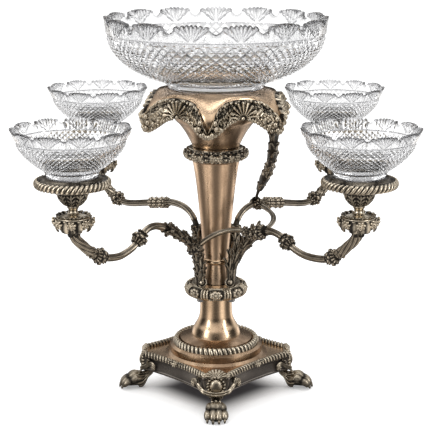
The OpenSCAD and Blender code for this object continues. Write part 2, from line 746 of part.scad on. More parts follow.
// A branch's path in space from its route, and the radius at each point with the knuckles added
function branch_path(route, angle) =
    [for (p = curve(route, route_steps))
        polar(mix(arm_root_r, arm_reach, p[0]), angle, z_collar_top + p[1] * arm_rise)];
function knuckle_swell(place, knuckles) =
    max([for (k = knuckles)
        let (off = abs(place - k[0]) / k[1])
        off < 1 ? 0.5 + 0.5 * cos(180 * off) : 0]);
function branch_radii(route, knuckles) =
    let (rings = curve(route, route_steps))
    [for (k = [0 : len(rings) - 1])
        mix(rings[k][2] / 2, max(knuckle_d, rings[k][2]) / 2, knuckle_swell(k / route_steps, knuckles))];
// A point on a branch, at a count of points along its route
function on_branch(route, angle, place) =
    branch_path(route, angle)[round(place * route_steps)];

module branch(route, knuckles, angle) {
    color(silver)
        swept_tube(branch_path(route, angle), branch_radii(route, knuckles),
            [-sin(angle), cos(angle), 0], [[0, 0, 1], [0, 0, 1]]);
}

// Moves a piece from the axis to the socket of a branch
module at_socket(angle, z) {
    translate(polar(arm_reach, angle, z)) children();
}

module socket(angle) {
    bore = plug_r + fit_gap;
    color(dark_silver)
    at_socket(angle, z_socket)
    rotate_extrude() polygon([
        [0, 0], [fluted_d / 2, 0], [mix(fluted_d / 2, socket_r, 0.3), 0.3 * socket_h],
        [mix(fluted_d / 2, socket_r, 0.6), 0.7 * socket_h], [socket_r, 0.92 * socket_h],
        [socket_r - 1, socket_h], [bore, socket_h], [bore, socket_h - plug_len - 0.5],
        [0, socket_h - plug_len - 0.5]
    ]);
}

module pan(angle) {
    bore = peg_r + fit_gap;
    hub = cup_neck_r + 1;
    color(dark_silver)
    at_socket(angle, z_pan)
    rotate_extrude() polygon([
        [0, -plug_len], [plug_r, -plug_len], [plug_r, 0], [socket_r + 1.5, 0],
        [mix(socket_r + 1.5, pan_r, 0.6), -0.2 * pan_h], [pan_r, 0.15 * pan_h],
        [pan_r - 0.5, 0.65 * pan_h], [mix(hub, pan_r, 0.5), 0.85 * pan_h], [hub, pan_h],
        [bore, pan_h], [bore, pan_h - peg_len - 0.5], [0, pan_h - peg_len - 0.5]
    ]);
}

module dish_stem(angle) {
    color(dark_silver)
    at_socket(angle, z_stem_seat)
    rotate_extrude() polygon([
        [0, -peg_len], [peg_r, -peg_len], [peg_r, 0], [cup_neck_r, 0], [cup_neck_r - 1, 0.12 * cup_h],
        [cup_neck_r, 0.3 * cup_h], [mix(cup_neck_r, cup_r, 0.4), 0.42 * cup_h],
        [mix(cup_neck_r, cup_r, 0.8), 0.65 * cup_h], [cup_r, 0.92 * cup_h], [cup_r, cup_h], [0, cup_h]
    ]);
}

module dish(angle) {
    rim_low = 0.3 * dish_h;
    rim_top = 0.86 * dish_h;
    color(silver)
    at_socket(angle, z_dish)
    rotate_extrude() polygon(concat(
        [[0, 0], [cup_r + 1, 0], [dish_r - 1.5 * dish_bead, rim_low]],
        [for (k = [-3 : 3])
            [dish_r - dish_bead * (1 - cos(25 * k)), mix(rim_low, rim_top, 0.5 + 0.5 * sin(25 * k))]],
        [[dish_seat_r + 1, rim_top + 0.6], [dish_seat_r, dish_h], [0, dish_h]]));
}

module small_bowl(angle) {
    color(glass)
    at_socket(angle, z_small)
        cut_bowl(small_r, small_h, small_mitre_r, small_mitre_h, small_foot_r, small_foot_top_r,
            small_foot_h, small_wall, small_fans, small_gap_w, small_gap_d);
}

// A tie's path between two points, bowed along a direction
function bowed_path(from, to, bow, steps) =
    [for (k = [0 : steps])
        let (share = k / steps)
        mix(from, to, share) + bow * 4 * share * (1 - share)];

module front_tie() {
    from = on_branch(route_front_left, front_left, 2.33);
    to = on_branch(route_front_right, front_right, 4.33);
    path = bowed_path(from, to, [0, -front_tie_bow, front_tie_arch], 14);
    color(silver)
        swept_tube(path, [for (p = path) tie_d / 2], [0, 1, 0], sides = 10);
}

module side_tie() {
    from = on_branch(route_front_right, front_right, 5.33);
    to = on_branch(route_back, back_right, 5.67);
    path = bowed_path(from, to, [side_tie_bow, 0, 0], 14);
    color(silver)
        swept_tube(path, [for (p = path) tie_d / 2], [0, 0, 1], sides = 10);
}

// Points of the stay: share of the way up and share of its bow
stay_route = [
    [0, 0], [0.09, -0.2], [0.19, -0.1], [0.4, 0.6], [0.52, 0.9], [0.66, 1], [0.84, 0.6], [1, 0]
];
stay_sizes = [0.6, 0.6, 0.65, 1.3, 0.9, 1.2, 1.2, 1];
module stay_scroll() {
    from = on_branch(route_back, back_right, 5.67);
    to = canopy_point(len(corner_outline) - 1, lobe, -canopy_wall / 2);
    path = curve([for (p = stay_route) mix(from, to, p[0]) + [stay_bow * p[1], 0, 0]], route_steps);
    sizes = curve(stay_sizes, route_steps);
    color(dark_silver)
        swept_tube(path, [for (s = sizes) s * stay_d / 2], [0, 1, 0], sides = 10);
}

module tie_rod() {
    low = z_plinth - nut_h - 1;
    color(steel)
    translate([0, 0, low])
        cylinder(r = rod_r, h = z_seat + nut_h + 0.5 - low);
}

// A hexagon nut standing on z = 0
module hex_nut(r, height, hole_r) {
    difference() {
        cylinder(r = r, h = height, $fn = 6);
        translate([0, 0, -1]) cylinder(r = hole_r, h = height + 2);
    }
}

module rod_nuts() {
    color(steel)
    for (z = [z_plinth - nut_h, z_seat])
        translate([0, 0, z]) hex_nut(nut_r, nut_h, rod_r + fit_gap);
}

module branch_studs() {
    color(steel)
    for (angle = [front_left, front_right, back_right, back_left])
        translate(polar(arm_root_r, angle, z_stem_top)) {
            translate([0, 0, -stud_nut_h]) cylinder(r = stud_r, h = stud_nut_h + lower_collar_h);
            translate([0, 0, -stud_nut_h]) cylinder(r = stud_nut_r, h = stud_nut_h, $fn = 6);
        }
}

module foot_nuts() {
    color(steel)
    for (angle = [front, right, back, left])
        translate(polar(foot_stud_at, angle, z_plinth + plate_t))
            hex_nut(stud_nut_r, stud_nut_h, stud_r + fit_gap);
}

base_plinth();
base_border();
base_plate();
paw_foot(front);  // paw_foot_front
paw_foot(right);  // paw_foot_right
paw_foot(back);  // paw_foot_back
paw_foot(left);  // paw_foot_left
corner_scroll(front);  // corner_scroll_front
corner_scroll(right);  // corner_scroll_right
corner_scroll(back);  // corner_scroll_back
corner_scroll(left);  // corner_scroll_left
base_dome();
base_rope_ring();
lower_stem();
lower_collar();
column_neck();
column_moulding();
column_shaft();
upper_collar();
capital_cone();
capital_canopy();
capital_swag(-0.5 * lobe);  // capital_swag_front_left
capital_swag(0.5 * lobe);  // capital_swag_front_right
capital_swag(1.5 * lobe);  // capital_swag_right
capital_swag(2.5 * lobe);  // capital_swag_back_right
capital_swag(3.5 * lobe);  // capital_swag_back_left
capital_swag(4.5 * lobe);  // capital_swag_left
bowl_seat();
centre_bowl();
branch(route_front_left, knuckles_front_left, front_left);  // branch_front_left
branch(route_front_right, knuckles_front_right, front_right);  // branch_front_right
branch(route_back, knuckles_back, back_right);  // branch_back_right
branch(route_back, knuckles_back, back_left);  // branch_back_left
socket(front_left);  // socket_front_left
socket(front_right);  // socket_front_right
socket(back_right);  // socket_back_right
socket(back_left);  // socket_back_left
pan(front_left);  // pan_front_left
pan(front_right);  // pan_front_right
pan(back_right);  // pan_back_right
pan(back_left);  // pan_back_left
dish_stem(front_left);  // dish_stem_front_left
dish_stem(front_right);  // dish_stem_front_right
dish_stem(back_right);  // dish_stem_back_right
dish_stem(back_left);  // dish_stem_back_left
dish(front_left);  // dish_front_left
dish(front_right);  // dish_front_right
dish(back_right);  // dish_back_right
dish(back_left);  // dish_back_left
small_bowl(front_left);  // small_bowl_front_left
small_bowl(front_right);  // small_bowl_front_right
small_bowl(back_right);  // small_bowl_back_right
small_bowl(back_left);  // small_bowl_back_left
front_tie();
side_tie();
stay_scroll();
tie_rod();
rod_nuts();
branch_studs();
foot_nuts();
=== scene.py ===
# %% [markdown]
# # A four-branch epergne in silver plate and cut glass
#
# An epergne is the centrepiece of a dinner table. This one stands on paw feet, and a column
# carries a large cut-glass bowl and four branches with a small bowl each. The CAD model gives
# every size and every moving body; this lesson dresses it in Blender with the chased ornament,
# the cut facets and the finishes. All lengths in the lesson are millimetres until a mesh is made.

# %% Load the CAD frame
import json
import math

import bpy
import numpy as np
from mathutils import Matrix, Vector


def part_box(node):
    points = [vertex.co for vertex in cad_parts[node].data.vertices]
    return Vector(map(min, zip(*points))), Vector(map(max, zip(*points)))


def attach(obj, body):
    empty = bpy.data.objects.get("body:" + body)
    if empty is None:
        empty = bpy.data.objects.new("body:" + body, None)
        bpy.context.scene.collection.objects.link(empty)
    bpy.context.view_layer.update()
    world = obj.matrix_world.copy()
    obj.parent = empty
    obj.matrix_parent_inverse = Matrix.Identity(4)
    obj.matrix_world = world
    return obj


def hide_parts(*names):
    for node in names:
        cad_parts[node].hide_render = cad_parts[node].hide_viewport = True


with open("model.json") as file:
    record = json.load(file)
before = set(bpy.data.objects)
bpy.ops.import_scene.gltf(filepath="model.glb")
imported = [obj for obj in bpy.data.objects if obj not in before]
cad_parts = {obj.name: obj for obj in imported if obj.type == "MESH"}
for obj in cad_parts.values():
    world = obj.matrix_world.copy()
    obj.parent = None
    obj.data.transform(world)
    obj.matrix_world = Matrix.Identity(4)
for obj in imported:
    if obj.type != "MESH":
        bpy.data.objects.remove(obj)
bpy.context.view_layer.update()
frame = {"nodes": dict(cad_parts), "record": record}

MM = 0.001

# %% [markdown]
# ## The camera
# The rims of the five bowls are level circles, so their ellipses in the photograph fix the
# camera: about 1.33 m in front of the column, a little above the bowls, looking down 14 degrees
# through a long lens. The camera is made first, because every later step is judged through it.

# %% Camera
lens = bpy.data.cameras.new("camera")
lens.sensor_width = 36
lens.lens = 103.08
camera = bpy.data.objects.new("camera", lens)
camera.location = (0, -1.3308, 0.53556)
camera.rotation_euler = (math.radians(90 - 14.07), 0, 0)
bpy.context.scene.collection.objects.link(camera)
bpy.context.scene.camera = camera
print("camera at", tuple(round(v, 3) for v in camera.location))

# %% [markdown]
# ## Writing shaders as sums
# A material is a tree of nodes. Long trees are hard to read as calls, so one class wraps a
# socket and lets Python's operators add the Math nodes, and one function makes any other node.

# %% Socket arithmetic
class Socket:
    """An output socket of a node tree; arithmetic on it adds Math nodes."""

    def __init__(self, tree, out):
        self.tree = tree
        self.out = out

    def math(self, operation, first, second):
        return node(self.tree, "ShaderNodeMath", {"operation": operation}, {0: first, 1: second})

    def __add__(self, other):
        return self.math("ADD", self, other)

    def __sub__(self, other):
        return self.math("SUBTRACT", self, other)

    def __rsub__(self, other):
        return self.math("SUBTRACT", other, self)

    def __mul__(self, other):
        return self.math("MULTIPLY", self, other)

    def __truediv__(self, other):
        return self.math("DIVIDE", self, other)

    __radd__ = __add__
    __rmul__ = __mul__


def node(tree, kind, settings=None, sockets=None, out=0):
    """Adds a node: its settings first, then the values or links of its sockets."""
    made = tree.nodes.new(kind)
    for key, value in (settings or {}).items():
        setattr(made, key, value)
    for key, value in (sockets or {}).items():
        if isinstance(value, Socket):
            tree.links.new(value.out, made.inputs[key])
        else:
            made.inputs[key].default_value = value
    return Socket(tree, made.outputs[out]) if made.outputs else None


def blend(tree, share, one, two):
    """A colour between two colours."""
    return node(tree, "ShaderNodeMix", {"data_type": "RGBA"}, {0: share, 6: one, 7: two}, out=2)


print("shader helpers ready")

# %% [markdown]
# ## Floor, light and surroundings
# The photograph is a studio shot on white paper. Polished silver shows nothing but its
# surroundings, and seen from a little above, an upright column mirrors the floor. A photographer
# lays white cards on a dark table for that and hangs a white tent overhead. So the floor is pale
# paper to the eye, with a soft shadow painted into the paper's colour round the plinth, and outside
# it the paper glows a little as painted light. To a mirror, floor and sky are dark, with a bright
# card towards each branch, which draws the streaks down the column, and a bright tent above. Soft
# boxes light the rest.

# %% What a mirror sees
def mirror_rays(tree):
    """1 for rays that come straight from a mirror, 0 for the eye and for all that passes glass."""
    glossy = node(tree, "ShaderNodeLightPath", out="Is Glossy Ray")
    passed = Socket(tree, glossy.out.node.outputs["Transmission Depth"])
    return glossy * node(tree, "ShaderNodeMath", {"operation": "LESS_THAN"}, {0: passed, 1: 0.5})


def cards(x, y):
    """1 towards the four branches, where white cards stand, and 0 between them."""
    diagonal = 2 * x * y / (x * x + y * y + 0.001)
    square = diagonal * diagonal
    return square * square


print("mirror helpers ready")

# %% Floor
SHADOW_EDGE, SHADOW_FULL = 0.091, 0.045  # metres from the axis, along the diagonals of the plinth
# Colour of the shadow painted into the paper near the plinth.
PAINTED_SHADOW_TONE = (0.08, 0.08, 0.09, 1)
CARD_DARK, CARD_BRIGHT = (0.035, 0.033, 0.03, 1), (1.35, 1.28, 1.2, 1)
floor_mesh = bpy.data.meshes.new("floor")
floor_mesh.from_pydata([(-6, -6, 0), (6, -6, 0), (6, 6, 0), (-6, 6, 0)], [], [(0, 1, 2, 3)])
floor = bpy.data.objects.new("floor", floor_mesh)
bpy.context.scene.collection.objects.link(floor)
paper = bpy.data.materials.new("white_paper")
paper.use_nodes = True
tree = paper.node_tree
tree.nodes.clear()
x = node(tree, "ShaderNodeSeparateXYZ", {}, {0: node(tree, "ShaderNodeTexCoord", out="Object")})
y = Socket(tree, x.out.node.outputs["Y"])
grain = node(tree, "ShaderNodeTexNoise", {}, {"Scale": 900.0, "Detail": 2.0})
tone = blend(tree, grain, (0.93, 0.93, 0.93, 1), (0.96, 0.96, 0.96, 1))
reach = node(tree, "ShaderNodeMath", {"operation": "ABSOLUTE"}, {0: x}) \
    + node(tree, "ShaderNodeMath", {"operation": "ABSOLUTE"}, {0: y})
# Painted shadow: the paper's colour darkens near the plinth, and outside it the paper glows a little as
# painted light.
shadow = node(tree, "ShaderNodeMapRange", {"interpolation_type": "SMOOTHSTEP"},
              {0: reach, 1: SHADOW_EDGE, 2: SHADOW_FULL})
tone = blend(tree, shadow, tone, PAINTED_SHADOW_TONE)
glow = blend(tree, shadow, (0.22, 0.22, 0.22, 1), (0, 0, 0, 1))
mirrored = mirror_rays(tree)
matt = node(tree, "ShaderNodeBsdfPrincipled", {}, {
    "Base Color": blend(tree, mirrored, tone, (0.035, 0.032, 0.03, 1)),
    "Roughness": 0.9,
    "Emission Color": blend(tree, mirrored, glow, blend(tree, cards(x, y), CARD_DARK, CARD_BRIGHT)),
    "Emission Strength": 1.0,
})
node(tree, "ShaderNodeOutputMaterial", {}, {"Surface": matt})
floor_mesh.materials.append(paper)
print("floor laid")

# %% World
world = bpy.data.worlds.new("studio")
world.use_nodes = True
bpy.context.scene.world = world
sky = world.node_tree
sky.nodes.clear()
white = node(sky, "ShaderNodeBackground", {}, {"Color": (1, 1, 1, 1), "Strength": 1.0})
aside = node(sky, "ShaderNodeSeparateXYZ", {}, {0: node(sky, "ShaderNodeTexCoord", out="Generated")})
ahead, upward = [Socket(sky, aside.out.node.outputs[axis]) for axis in "YZ"]
tent = node(sky, "ShaderNodeMapRange", {"interpolation_type": "SMOOTHSTEP"},
            {0: upward, 1: 0.30, 2: 0.62})
lit = 1 - (1 - tent) * (1 - 0.85 * cards(aside, ahead))
dark = node(sky, "ShaderNodeBackground", {}, {"Color": (0.03, 0.029, 0.028, 1), "Strength": 1.0})
cloth = node(sky, "ShaderNodeBackground", {}, {"Color": (1.1, 1.08, 1.05, 1), "Strength": 1.0})
mirrored = node(sky, "ShaderNodeMixShader", {}, {0: lit, 1: dark, 2: cloth})
both = node(sky, "ShaderNodeMixShader", {}, {0: mirror_rays(sky), 1: white, 2: mirrored})
node(sky, "ShaderNodeOutputWorld", {}, {"Surface": both})
print("world:", world.name)

# %% Soft boxes
# Place in metres, width and height, power in watts.
SOFT_BOXES = {
    "left_box": ((-1.3, -1.1, 0.95), (0.5, 1.2), 9),
    "right_box": ((1.35, -0.9, 0.85), (0.35, 1.1), 6),
    "top_box": ((0.0, -0.3, 1.9), (1.1, 0.9), 8),
    "back_left_box": ((-1.2, 1.3, 0.9), (0.4, 1.0), 5),
    "back_right_box": ((1.2, 1.3, 0.9), (0.4, 1.0), 5),
}
for name, (place, size, power) in SOFT_BOXES.items():
    light = bpy.data.lights.new(name, "AREA")
    light.shape = "RECTANGLE"
    light.size, light.size_y = size
    light.energy = power
    box = bpy.data.objects.new(name, light)
    box.location = place
    towards = Vector((0, 0, 0.2)) - Vector(place)
    box.rotation_euler = towards.to_track_quat("-Z", "Y").to_euler()
    box.visible_camera = False
    box.visible_glossy = not name.startswith("back")
    bpy.context.scene.collection.objects.link(box)
bpy.context.scene.view_settings.view_transform = "Standard"
print("soft boxes:", ", ".join(SOFT_BOXES))

# %% [markdown]
# ## Old silver plate
# Plate that has been polished for a century and a half is bright only on its high points. Dark
# sulphide stays in the hollows, and on the plain column the copper under the plate shows through
# as a warm tone. Each ornament mesh carries an attribute called hollow, 1 in the deepest cut and
# 0 on the highest ridge, and the finish mixes bright metal and tarnish by it. On some pieces the
# same attribute also carries painted shade, as noted where it is set. Clouds of tarnish on plain
# surfaces are drawn out upwards, the way a cloth rubs. Of the spun pieces the shaft is the lightest,
# and the neck takes its finish as a painted highlight; the cone and the dome are darker. Castings
# are greyer than spun pieces, so one function makes eight finishes.

# %% Silver finishes
def silver(name, bright, tarnish, rough, patchy):
    """Silver plate with dark hollows; patchy is how much the tone wanders over plain surfaces."""
    finish = bpy.data.materials.new(name)
    finish.use_nodes = True
    tree = finish.node_tree
    tree.nodes.clear()
    place = node(tree, "ShaderNodeTexCoord", out="Object")
    hollow = node(tree, "ShaderNodeAttribute", {"attribute_name": "hollow"}, out="Fac")
    drawn = node(tree, "ShaderNodeMapping", {}, {"Vector": place, "Scale": (1.0, 1.0, 0.3)})
    cloud = node(tree, "ShaderNodeTexNoise", {}, {"Vector": drawn, "Scale": 60.0, "Detail": 4.0})
    speck = node(tree, "ShaderNodeTexNoise", {}, {"Vector": place, "Scale": 620.0, "Detail": 3.0})
    worn = node(tree, "ShaderNodeMapRange", {},
                {0: cloud + 0.25 * speck, 1: 0.45, 2: 0.8, 3: 0.0, 4: patchy})
    share = node(tree, "ShaderNodeMath", {"operation": "ADD", "use_clamp": True}, {0: hollow, 1: worn})
    bump = node(tree, "ShaderNodeBump", {}, {"Strength": 0.12, "Distance": 0.0004, "Height": speck})
    shade = node(tree, "ShaderNodeBsdfPrincipled", {}, {
        "Base Color": blend(tree, share, bright, tarnish),
        "Roughness": rough + 0.08 * speck + 0.25 * share,
        "Metallic": 1 - 0.35 * hollow,
        "Normal": bump,
    })
    node(tree, "ShaderNodeOutputMaterial", {}, {"Surface": shade})
    return finish


COLUMN = silver("column_plate", (0.76, 0.56, 0.38, 1), (0.19, 0.11, 0.06, 1), 0.12, 0.50)
BRANCH = silver("branch_plate", (0.46, 0.395, 0.31, 1), (0.025, 0.02, 0.015, 1), 0.14, 0.35)
CAST = silver("cast_plate", (0.70, 0.61, 0.48, 1), (0.02, 0.016, 0.012, 1), 0.15, 0.35)
# Dark plate of the plinth wall: its darkness is a painted reflection of the shaded floor.
BAND = silver("band_plate", (0.28, 0.25, 0.225, 1), (0.05, 0.045, 0.04, 1), 0.16, 0.35)
SHAFT = silver("shaft_plate", (0.88, 0.64, 0.44, 1), (0.24, 0.14, 0.08, 1), 0.20, 0.60)
DOME = silver("dome_plate", (0.56, 0.40, 0.27, 1), (0.12, 0.07, 0.04, 1), 0.15, 0.7)
FOOT = silver("foot_plate", (0.53, 0.46, 0.36, 1), (0.02, 0.016, 0.012, 1), 0.16, 0.45)
STEEL = silver("turned_steel", (0.55, 0.55, 0.56, 1), (0.25, 0.25, 0.25, 1), 0.30, 0.3)
SILVERS = (COLUMN, SHAFT, DOME, BRANCH, CAST, FOOT, BAND, STEEL)
print("silver finishes:", ", ".join(finish.name for finish in SILVERS))

# %% [markdown]
# ## Lead glass
# Cut glass is clear all through, so its look comes from the facets that bend and mirror what is
# behind them. The cutting is real geometry. The attribute hollow, 1 in a groove and 0 on an apex,
# darkens the glass just there as painted shade, and the mitre line, the rim's edge and rings of the
# foot are darkened the same way.
# Lead glass bends light more than this finish does: at the size of the photograph its facets would
# only glitter, and a lower index keeps the cut lines crisp.

# %% Glass finish
GLASS = bpy.data.materials.new("cut_glass")
GLASS.use_nodes = True
tree = GLASS.node_tree
tree.nodes.clear()
marks = node(tree, "ShaderNodeTexNoise", {}, {
    "Vector": node(tree, "ShaderNodeTexCoord", out="Object"), "Scale": 300.0, "Detail": 3.0})
hollow = node(tree, "ShaderNodeAttribute", {"attribute_name": "hollow"}, out="Fac")
# Painted shade: the glass turns dark in its grooves and along the other darkened lines.
grey = hollow * hollow * hollow
clear = node(tree, "ShaderNodeBsdfPrincipled", {}, {
    "Base Color": blend(tree, grey, (0.99, 0.99, 0.99, 1), (0.11, 0.11, 0.12, 1)),
    "Roughness": 0.02 * marks + 0.08 * grey,
    "IOR": 1.33,
    "Transmission Weight": 1.0,
})
node(tree, "ShaderNodeOutputMaterial", {}, {"Surface": clear})
print("glass finish:", GLASS.name)

# %% [markdown]
# ## From points to pieces
# Every ornament here is a sheet of points in rows and columns, worked out with numpy and closed
# into quads. A piece joins several such sheets into one mesh, takes its finish, rides on its CAD
# body and stands for the CAD nodes that it dresses.

# %% Mesh helpers
def sheet(points, hollow=0.0, ring=True):
    """A part made of rows and columns of points; ring joins the last column to the first."""
    rows, columns = points.shape[:2]
    row = np.arange(rows - 1)[:, None] * columns
    column = np.arange(columns if ring else columns - 1)[None, :]
    right = (column + 1) % columns
    faces = np.stack([row + column, row + right, row + columns + right, row + columns + column], -1)
    hollow = np.broadcast_to(hollow, points.shape[:2])
    return points.reshape(-1, 3), faces.reshape(-1, 4), hollow.ravel()


def make_mesh(name, points, faces, hollow, finish, flat=None):
    """A mesh object from points in millimetres, smooth except for the faces where flat is true."""
    mesh = bpy.data.meshes.new(name)
    mesh.from_pydata((points * MM).tolist(), [], faces)
    mesh.polygons.foreach_set("use_smooth", np.ones(len(faces), bool) if flat is None else ~flat)
    trace = mesh.attributes.new("hollow", "FLOAT", "POINT")
    trace.data.foreach_set("value", hollow.astype(np.float32))
    mesh.materials.append(finish)
    made = bpy.data.objects.new(name, mesh)
    bpy.context.scene.collection.objects.link(made)
    return made


def make_piece(name, parts, finish, body, nodes=()):
    """Joins parts into one mesh that rides on a CAD body and stands for CAD nodes."""
    points, faces, hollow, count = [], [], [], 0
    for part_points, part_faces, part_hollow in parts:
        points.append(part_points)
        hollow.append(part_hollow)
        faces.extend((part_faces + count).tolist())
        count += len(part_points)
    made = make_mesh(name, np.concatenate(points), faces, np.concatenate(hollow), finish)
    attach(made, body)
    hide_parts(*nodes)
    return made


def node_box(name):
    """Lowest and highest corner of a CAD node in millimetres."""
    return [np.array(corner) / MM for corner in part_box(name)]


print("mesh helpers ready")

# %% [markdown]
# ## The cut-glass bowls
# The cutter grinds two sets of slanting V grooves into the side, which leaves a net of raised
# diamonds. Each diamond is four flat facets round an apex, so the net is built exactly: groove
# crossings in staggered rows, and one apex between every four. Above a mitre line the rim has fans
# of rays with toothed tops, hollow petals between them and a smooth dip in the edge over each petal.
# Columns and rows of that part are close enough to carve the rays into them. The whole outline runs
# from the middle of the underside out over the foot, up the outside, over the rim and down the
# inside, so the glass is closed.

# %% Outline of a bowl
def bowl_curve(foot_r, foot_h, mitre_r, mitre_h, count, flare):
    """Points up a bowl's side: part ellipse and, by the share flare, part straight line."""
    angle = np.linspace(0, math.pi / 2, count)
    out, up = np.sin(angle), 1 - np.cos(angle)
    up = up + flare * (out - up)
    return np.stack([foot_r + (mitre_r - foot_r) * out, foot_h + (mitre_h - foot_h) * up], -1)


def along(curve, step):
    """Length along a curve, and the curve resampled to about equal steps."""
    length = np.concatenate([[0], np.cumsum(np.linalg.norm(np.diff(curve, axis=0), axis=1))])
    place = np.linspace(0, length[-1], max(2, int(round(length[-1] / step)) + 1))
    return place, np.stack([np.interp(place, length, column) for column in curve.T], -1)


def spun(outline, columns, turn=0.0):
    """Rows of points round +Z for an outline of (radius, height)."""
    angle = 2 * math.pi * (np.arange(columns) + turn) / columns
    r, z = outline[:, :1], outline[:, 1:]
    return np.stack([r * np.cos(angle), r * np.sin(angle), z + 0 * angle], -1)


print("outline helpers ready")

# %% Diamonds
def diamond_net(curve, around):
    """Groove crossings row by row and the apexes between them, up a bowl's side."""
    place, dense = along(curve, 0.1)
    rows, at = [place[-1]], place[-1]
    while at > 0:
        at -= math.pi * np.interp(at, place, dense[:, 0]) / around
        rows.append(at)
    rows = np.array(rows[::-1])
    rows = (rows - rows[0]) / (rows[-1] - rows[0]) * place[-1]
    r = np.interp(rows, place, dense[:, 0])
    z = np.interp(rows, place, dense[:, 1])
    lean = np.arctan2(np.gradient(z, rows), np.gradient(r, rows))
    deep = 0.40 * math.pi * r / around
    grooves, tops = [], []
    for j in range(len(rows)):
        turn = 0.5 * (j % 2)
        cut = np.array([[r[j] - deep[j] * np.sin(lean[j]), z[j] + deep[j] * np.cos(lean[j])]])
        grooves.append(spun(cut, around, turn)[0])
        tops.append(spun(np.array([[r[j], z[j]]]), around, turn + 0.5)[0])
    return grooves, tops


def diamond_faces(rows, around):
    """Triangles of the net: four to a diamond, one at each half diamond along the two edges."""
    faces = []
    here = np.arange(around)
    right = (here + 1) % around
    for j in range(rows):
        middle = here if j % 2 == 0 else right
        low, mid, high = (j - 1) * around, j * around, (j + 1) * around
        apex = rows * around + mid
        if j == 0:
            faces += [(mid + here, mid + right, high + middle)]
        elif j == rows - 1:
            faces += [(mid + here, low + middle, mid + right)]
        else:
            faces += [(mid + here, apex + here, high + middle),
                      (apex + here, mid + right, high + middle),
                      (mid + here, low + middle, apex + here),
                      (low + middle, mid + right, apex + here)]
    return [tuple(face) for group in faces for face in np.stack(group, -1).tolist()]


def zip_rings(few, many, first, around, ratio, upward):
    """Triangles that join a ring of few points to a ring with ratio times as many."""
    faces = []
    for i in range(around):
        a, b = few + i, few + (i + 1) % around
        ring = [many + (first + ratio * i + k) % (around * ratio) for k in range(ratio + 1)]
        half = ratio // 2
        strip = [(a if k < half else b, ring[k + 1], ring[k]) for k in range(ratio)]
        strip.append((a, b, ring[half]))
        faces += strip if upward else [face[::-1] for face in strip]
    return faces


print("diamond net ready")

# %% Fans of the rim
def rim_sheet(size, columns):
    """Rows of points from the mitre line up to the toothed edge of the rim."""
    angle = 2 * math.pi * np.arange(columns) / columns
    pitch = 2 * math.pi * size["rim_r"] / size["fans"]
    x = ((angle - math.pi / 2) * size["fans"] / (2 * math.pi) + 0.5) % 1 * pitch - pitch / 2
    half_fan = (pitch - size["gap_w"]) / 2
    tall = size["rim_h"] - size["mitre_h"]
    spread = math.atan2(half_fan, tall - 0.2 * size["gap_d"])
    ray = np.arctan2(x, tall) / spread * size["rays"] / 2
    tooth = np.abs((ray + 0.5) % 1 - 0.5) * 2
    inside = np.abs(x) < half_fan
    gap = np.clip((pitch / 2 - np.abs(x)) / (size["gap_w"] / 2), 0, 1)
    shoulder = 0.88 * tall - size["tooth"]
    dip = size["gap_d"] - (tall - shoulder)
    top = np.where(inside, tall - 0.12 * tall * (x / half_fan) ** 2 - size["tooth"] * tooth ** 2,
                   shoulder - dip * (1 - gap ** 2))
    share = np.linspace(0, 1, size["rim_rows"])[:, None]
    y = share * top[None, :]
    phi = np.arctan2(np.broadcast_to(x, y.shape), y + 0.04 * tall)
    reach = np.hypot(x, y)
    beam = np.abs((phi / spread * size["rays"] / 2 + 0.5) % 1 - 0.5) * 2
    fade = np.clip((reach - 0.06 * tall) / (0.15 * tall), 0, 1)
    fan = np.abs(phi) < spread
    room = np.maximum(pitch / 2 - y * math.tan(spread), 0.2 * size["gap_w"])
    petal = np.clip(1 - ((pitch / 2 - np.abs(x)) / room) ** 2, 0, 1)
    cut = np.where(fan, size["ray_cut"] * fade * beam, 1.3 * size["ray_cut"] * petal)
    off_edge = (np.abs(phi) - spread - 0.06) * reach / (0.05 * tall)
    edge = np.exp(-off_edge ** 2) * np.clip(reach / (0.3 * tall), 0, 1)
    cut = cut + size["ray_cut"] * edge
    lean = (size["rim_r"] - size["mitre_r"]) / tall
    r = size["mitre_r"] + lean * y - cut
    z = size["mitre_h"] + y + lean * cut
    # Painted shade: dark along the rays, round each fan, in the petals, on the mitre line and on the
    # toothed edge.
    hollow = np.where(fan, fade * beam ** 0.42, 0.35 * petal) + edge
    hollow[0] = 0.95
    hollow[-2:] = 1.0
    return np.stack([r * np.cos(angle), r * np.sin(angle), z], -1), np.clip(hollow, 0, 1)


print("fan rim ready")

# %% Foot of a bowl
# Painted shade on the glass foot, along its edges and rings.
FOOT_SHADE = (0, 0, 0, 0, 0.9, 0.95, 1.0, 0.78, 0.88, 0.72, 1.0)  # hollow along the foot's outline


def foot_outline(size):
    """Outline of the foot, from the middle of the underside out and up to the diamonds."""
    r, high, top_r = size["foot_r"], size["foot_h"], size["foot_top_r"]
    under = r - size["wall"]
    return np.array([
        [0.5, high - 1], [under - 0.6, high - 1], [under, high - 1.8], [under, 0.6], [under + 0.6, 0],
        [r - 0.7, 0], [r, 0.6], [r + 0.2, 0.3 * high], [top_r - 0.4, 0.72 * high], [top_r, 0.85 * high],
        [top_r - 1.2, high - 0.3]])


print("foot ready, with", len(FOOT_SHADE), "points in its outline")

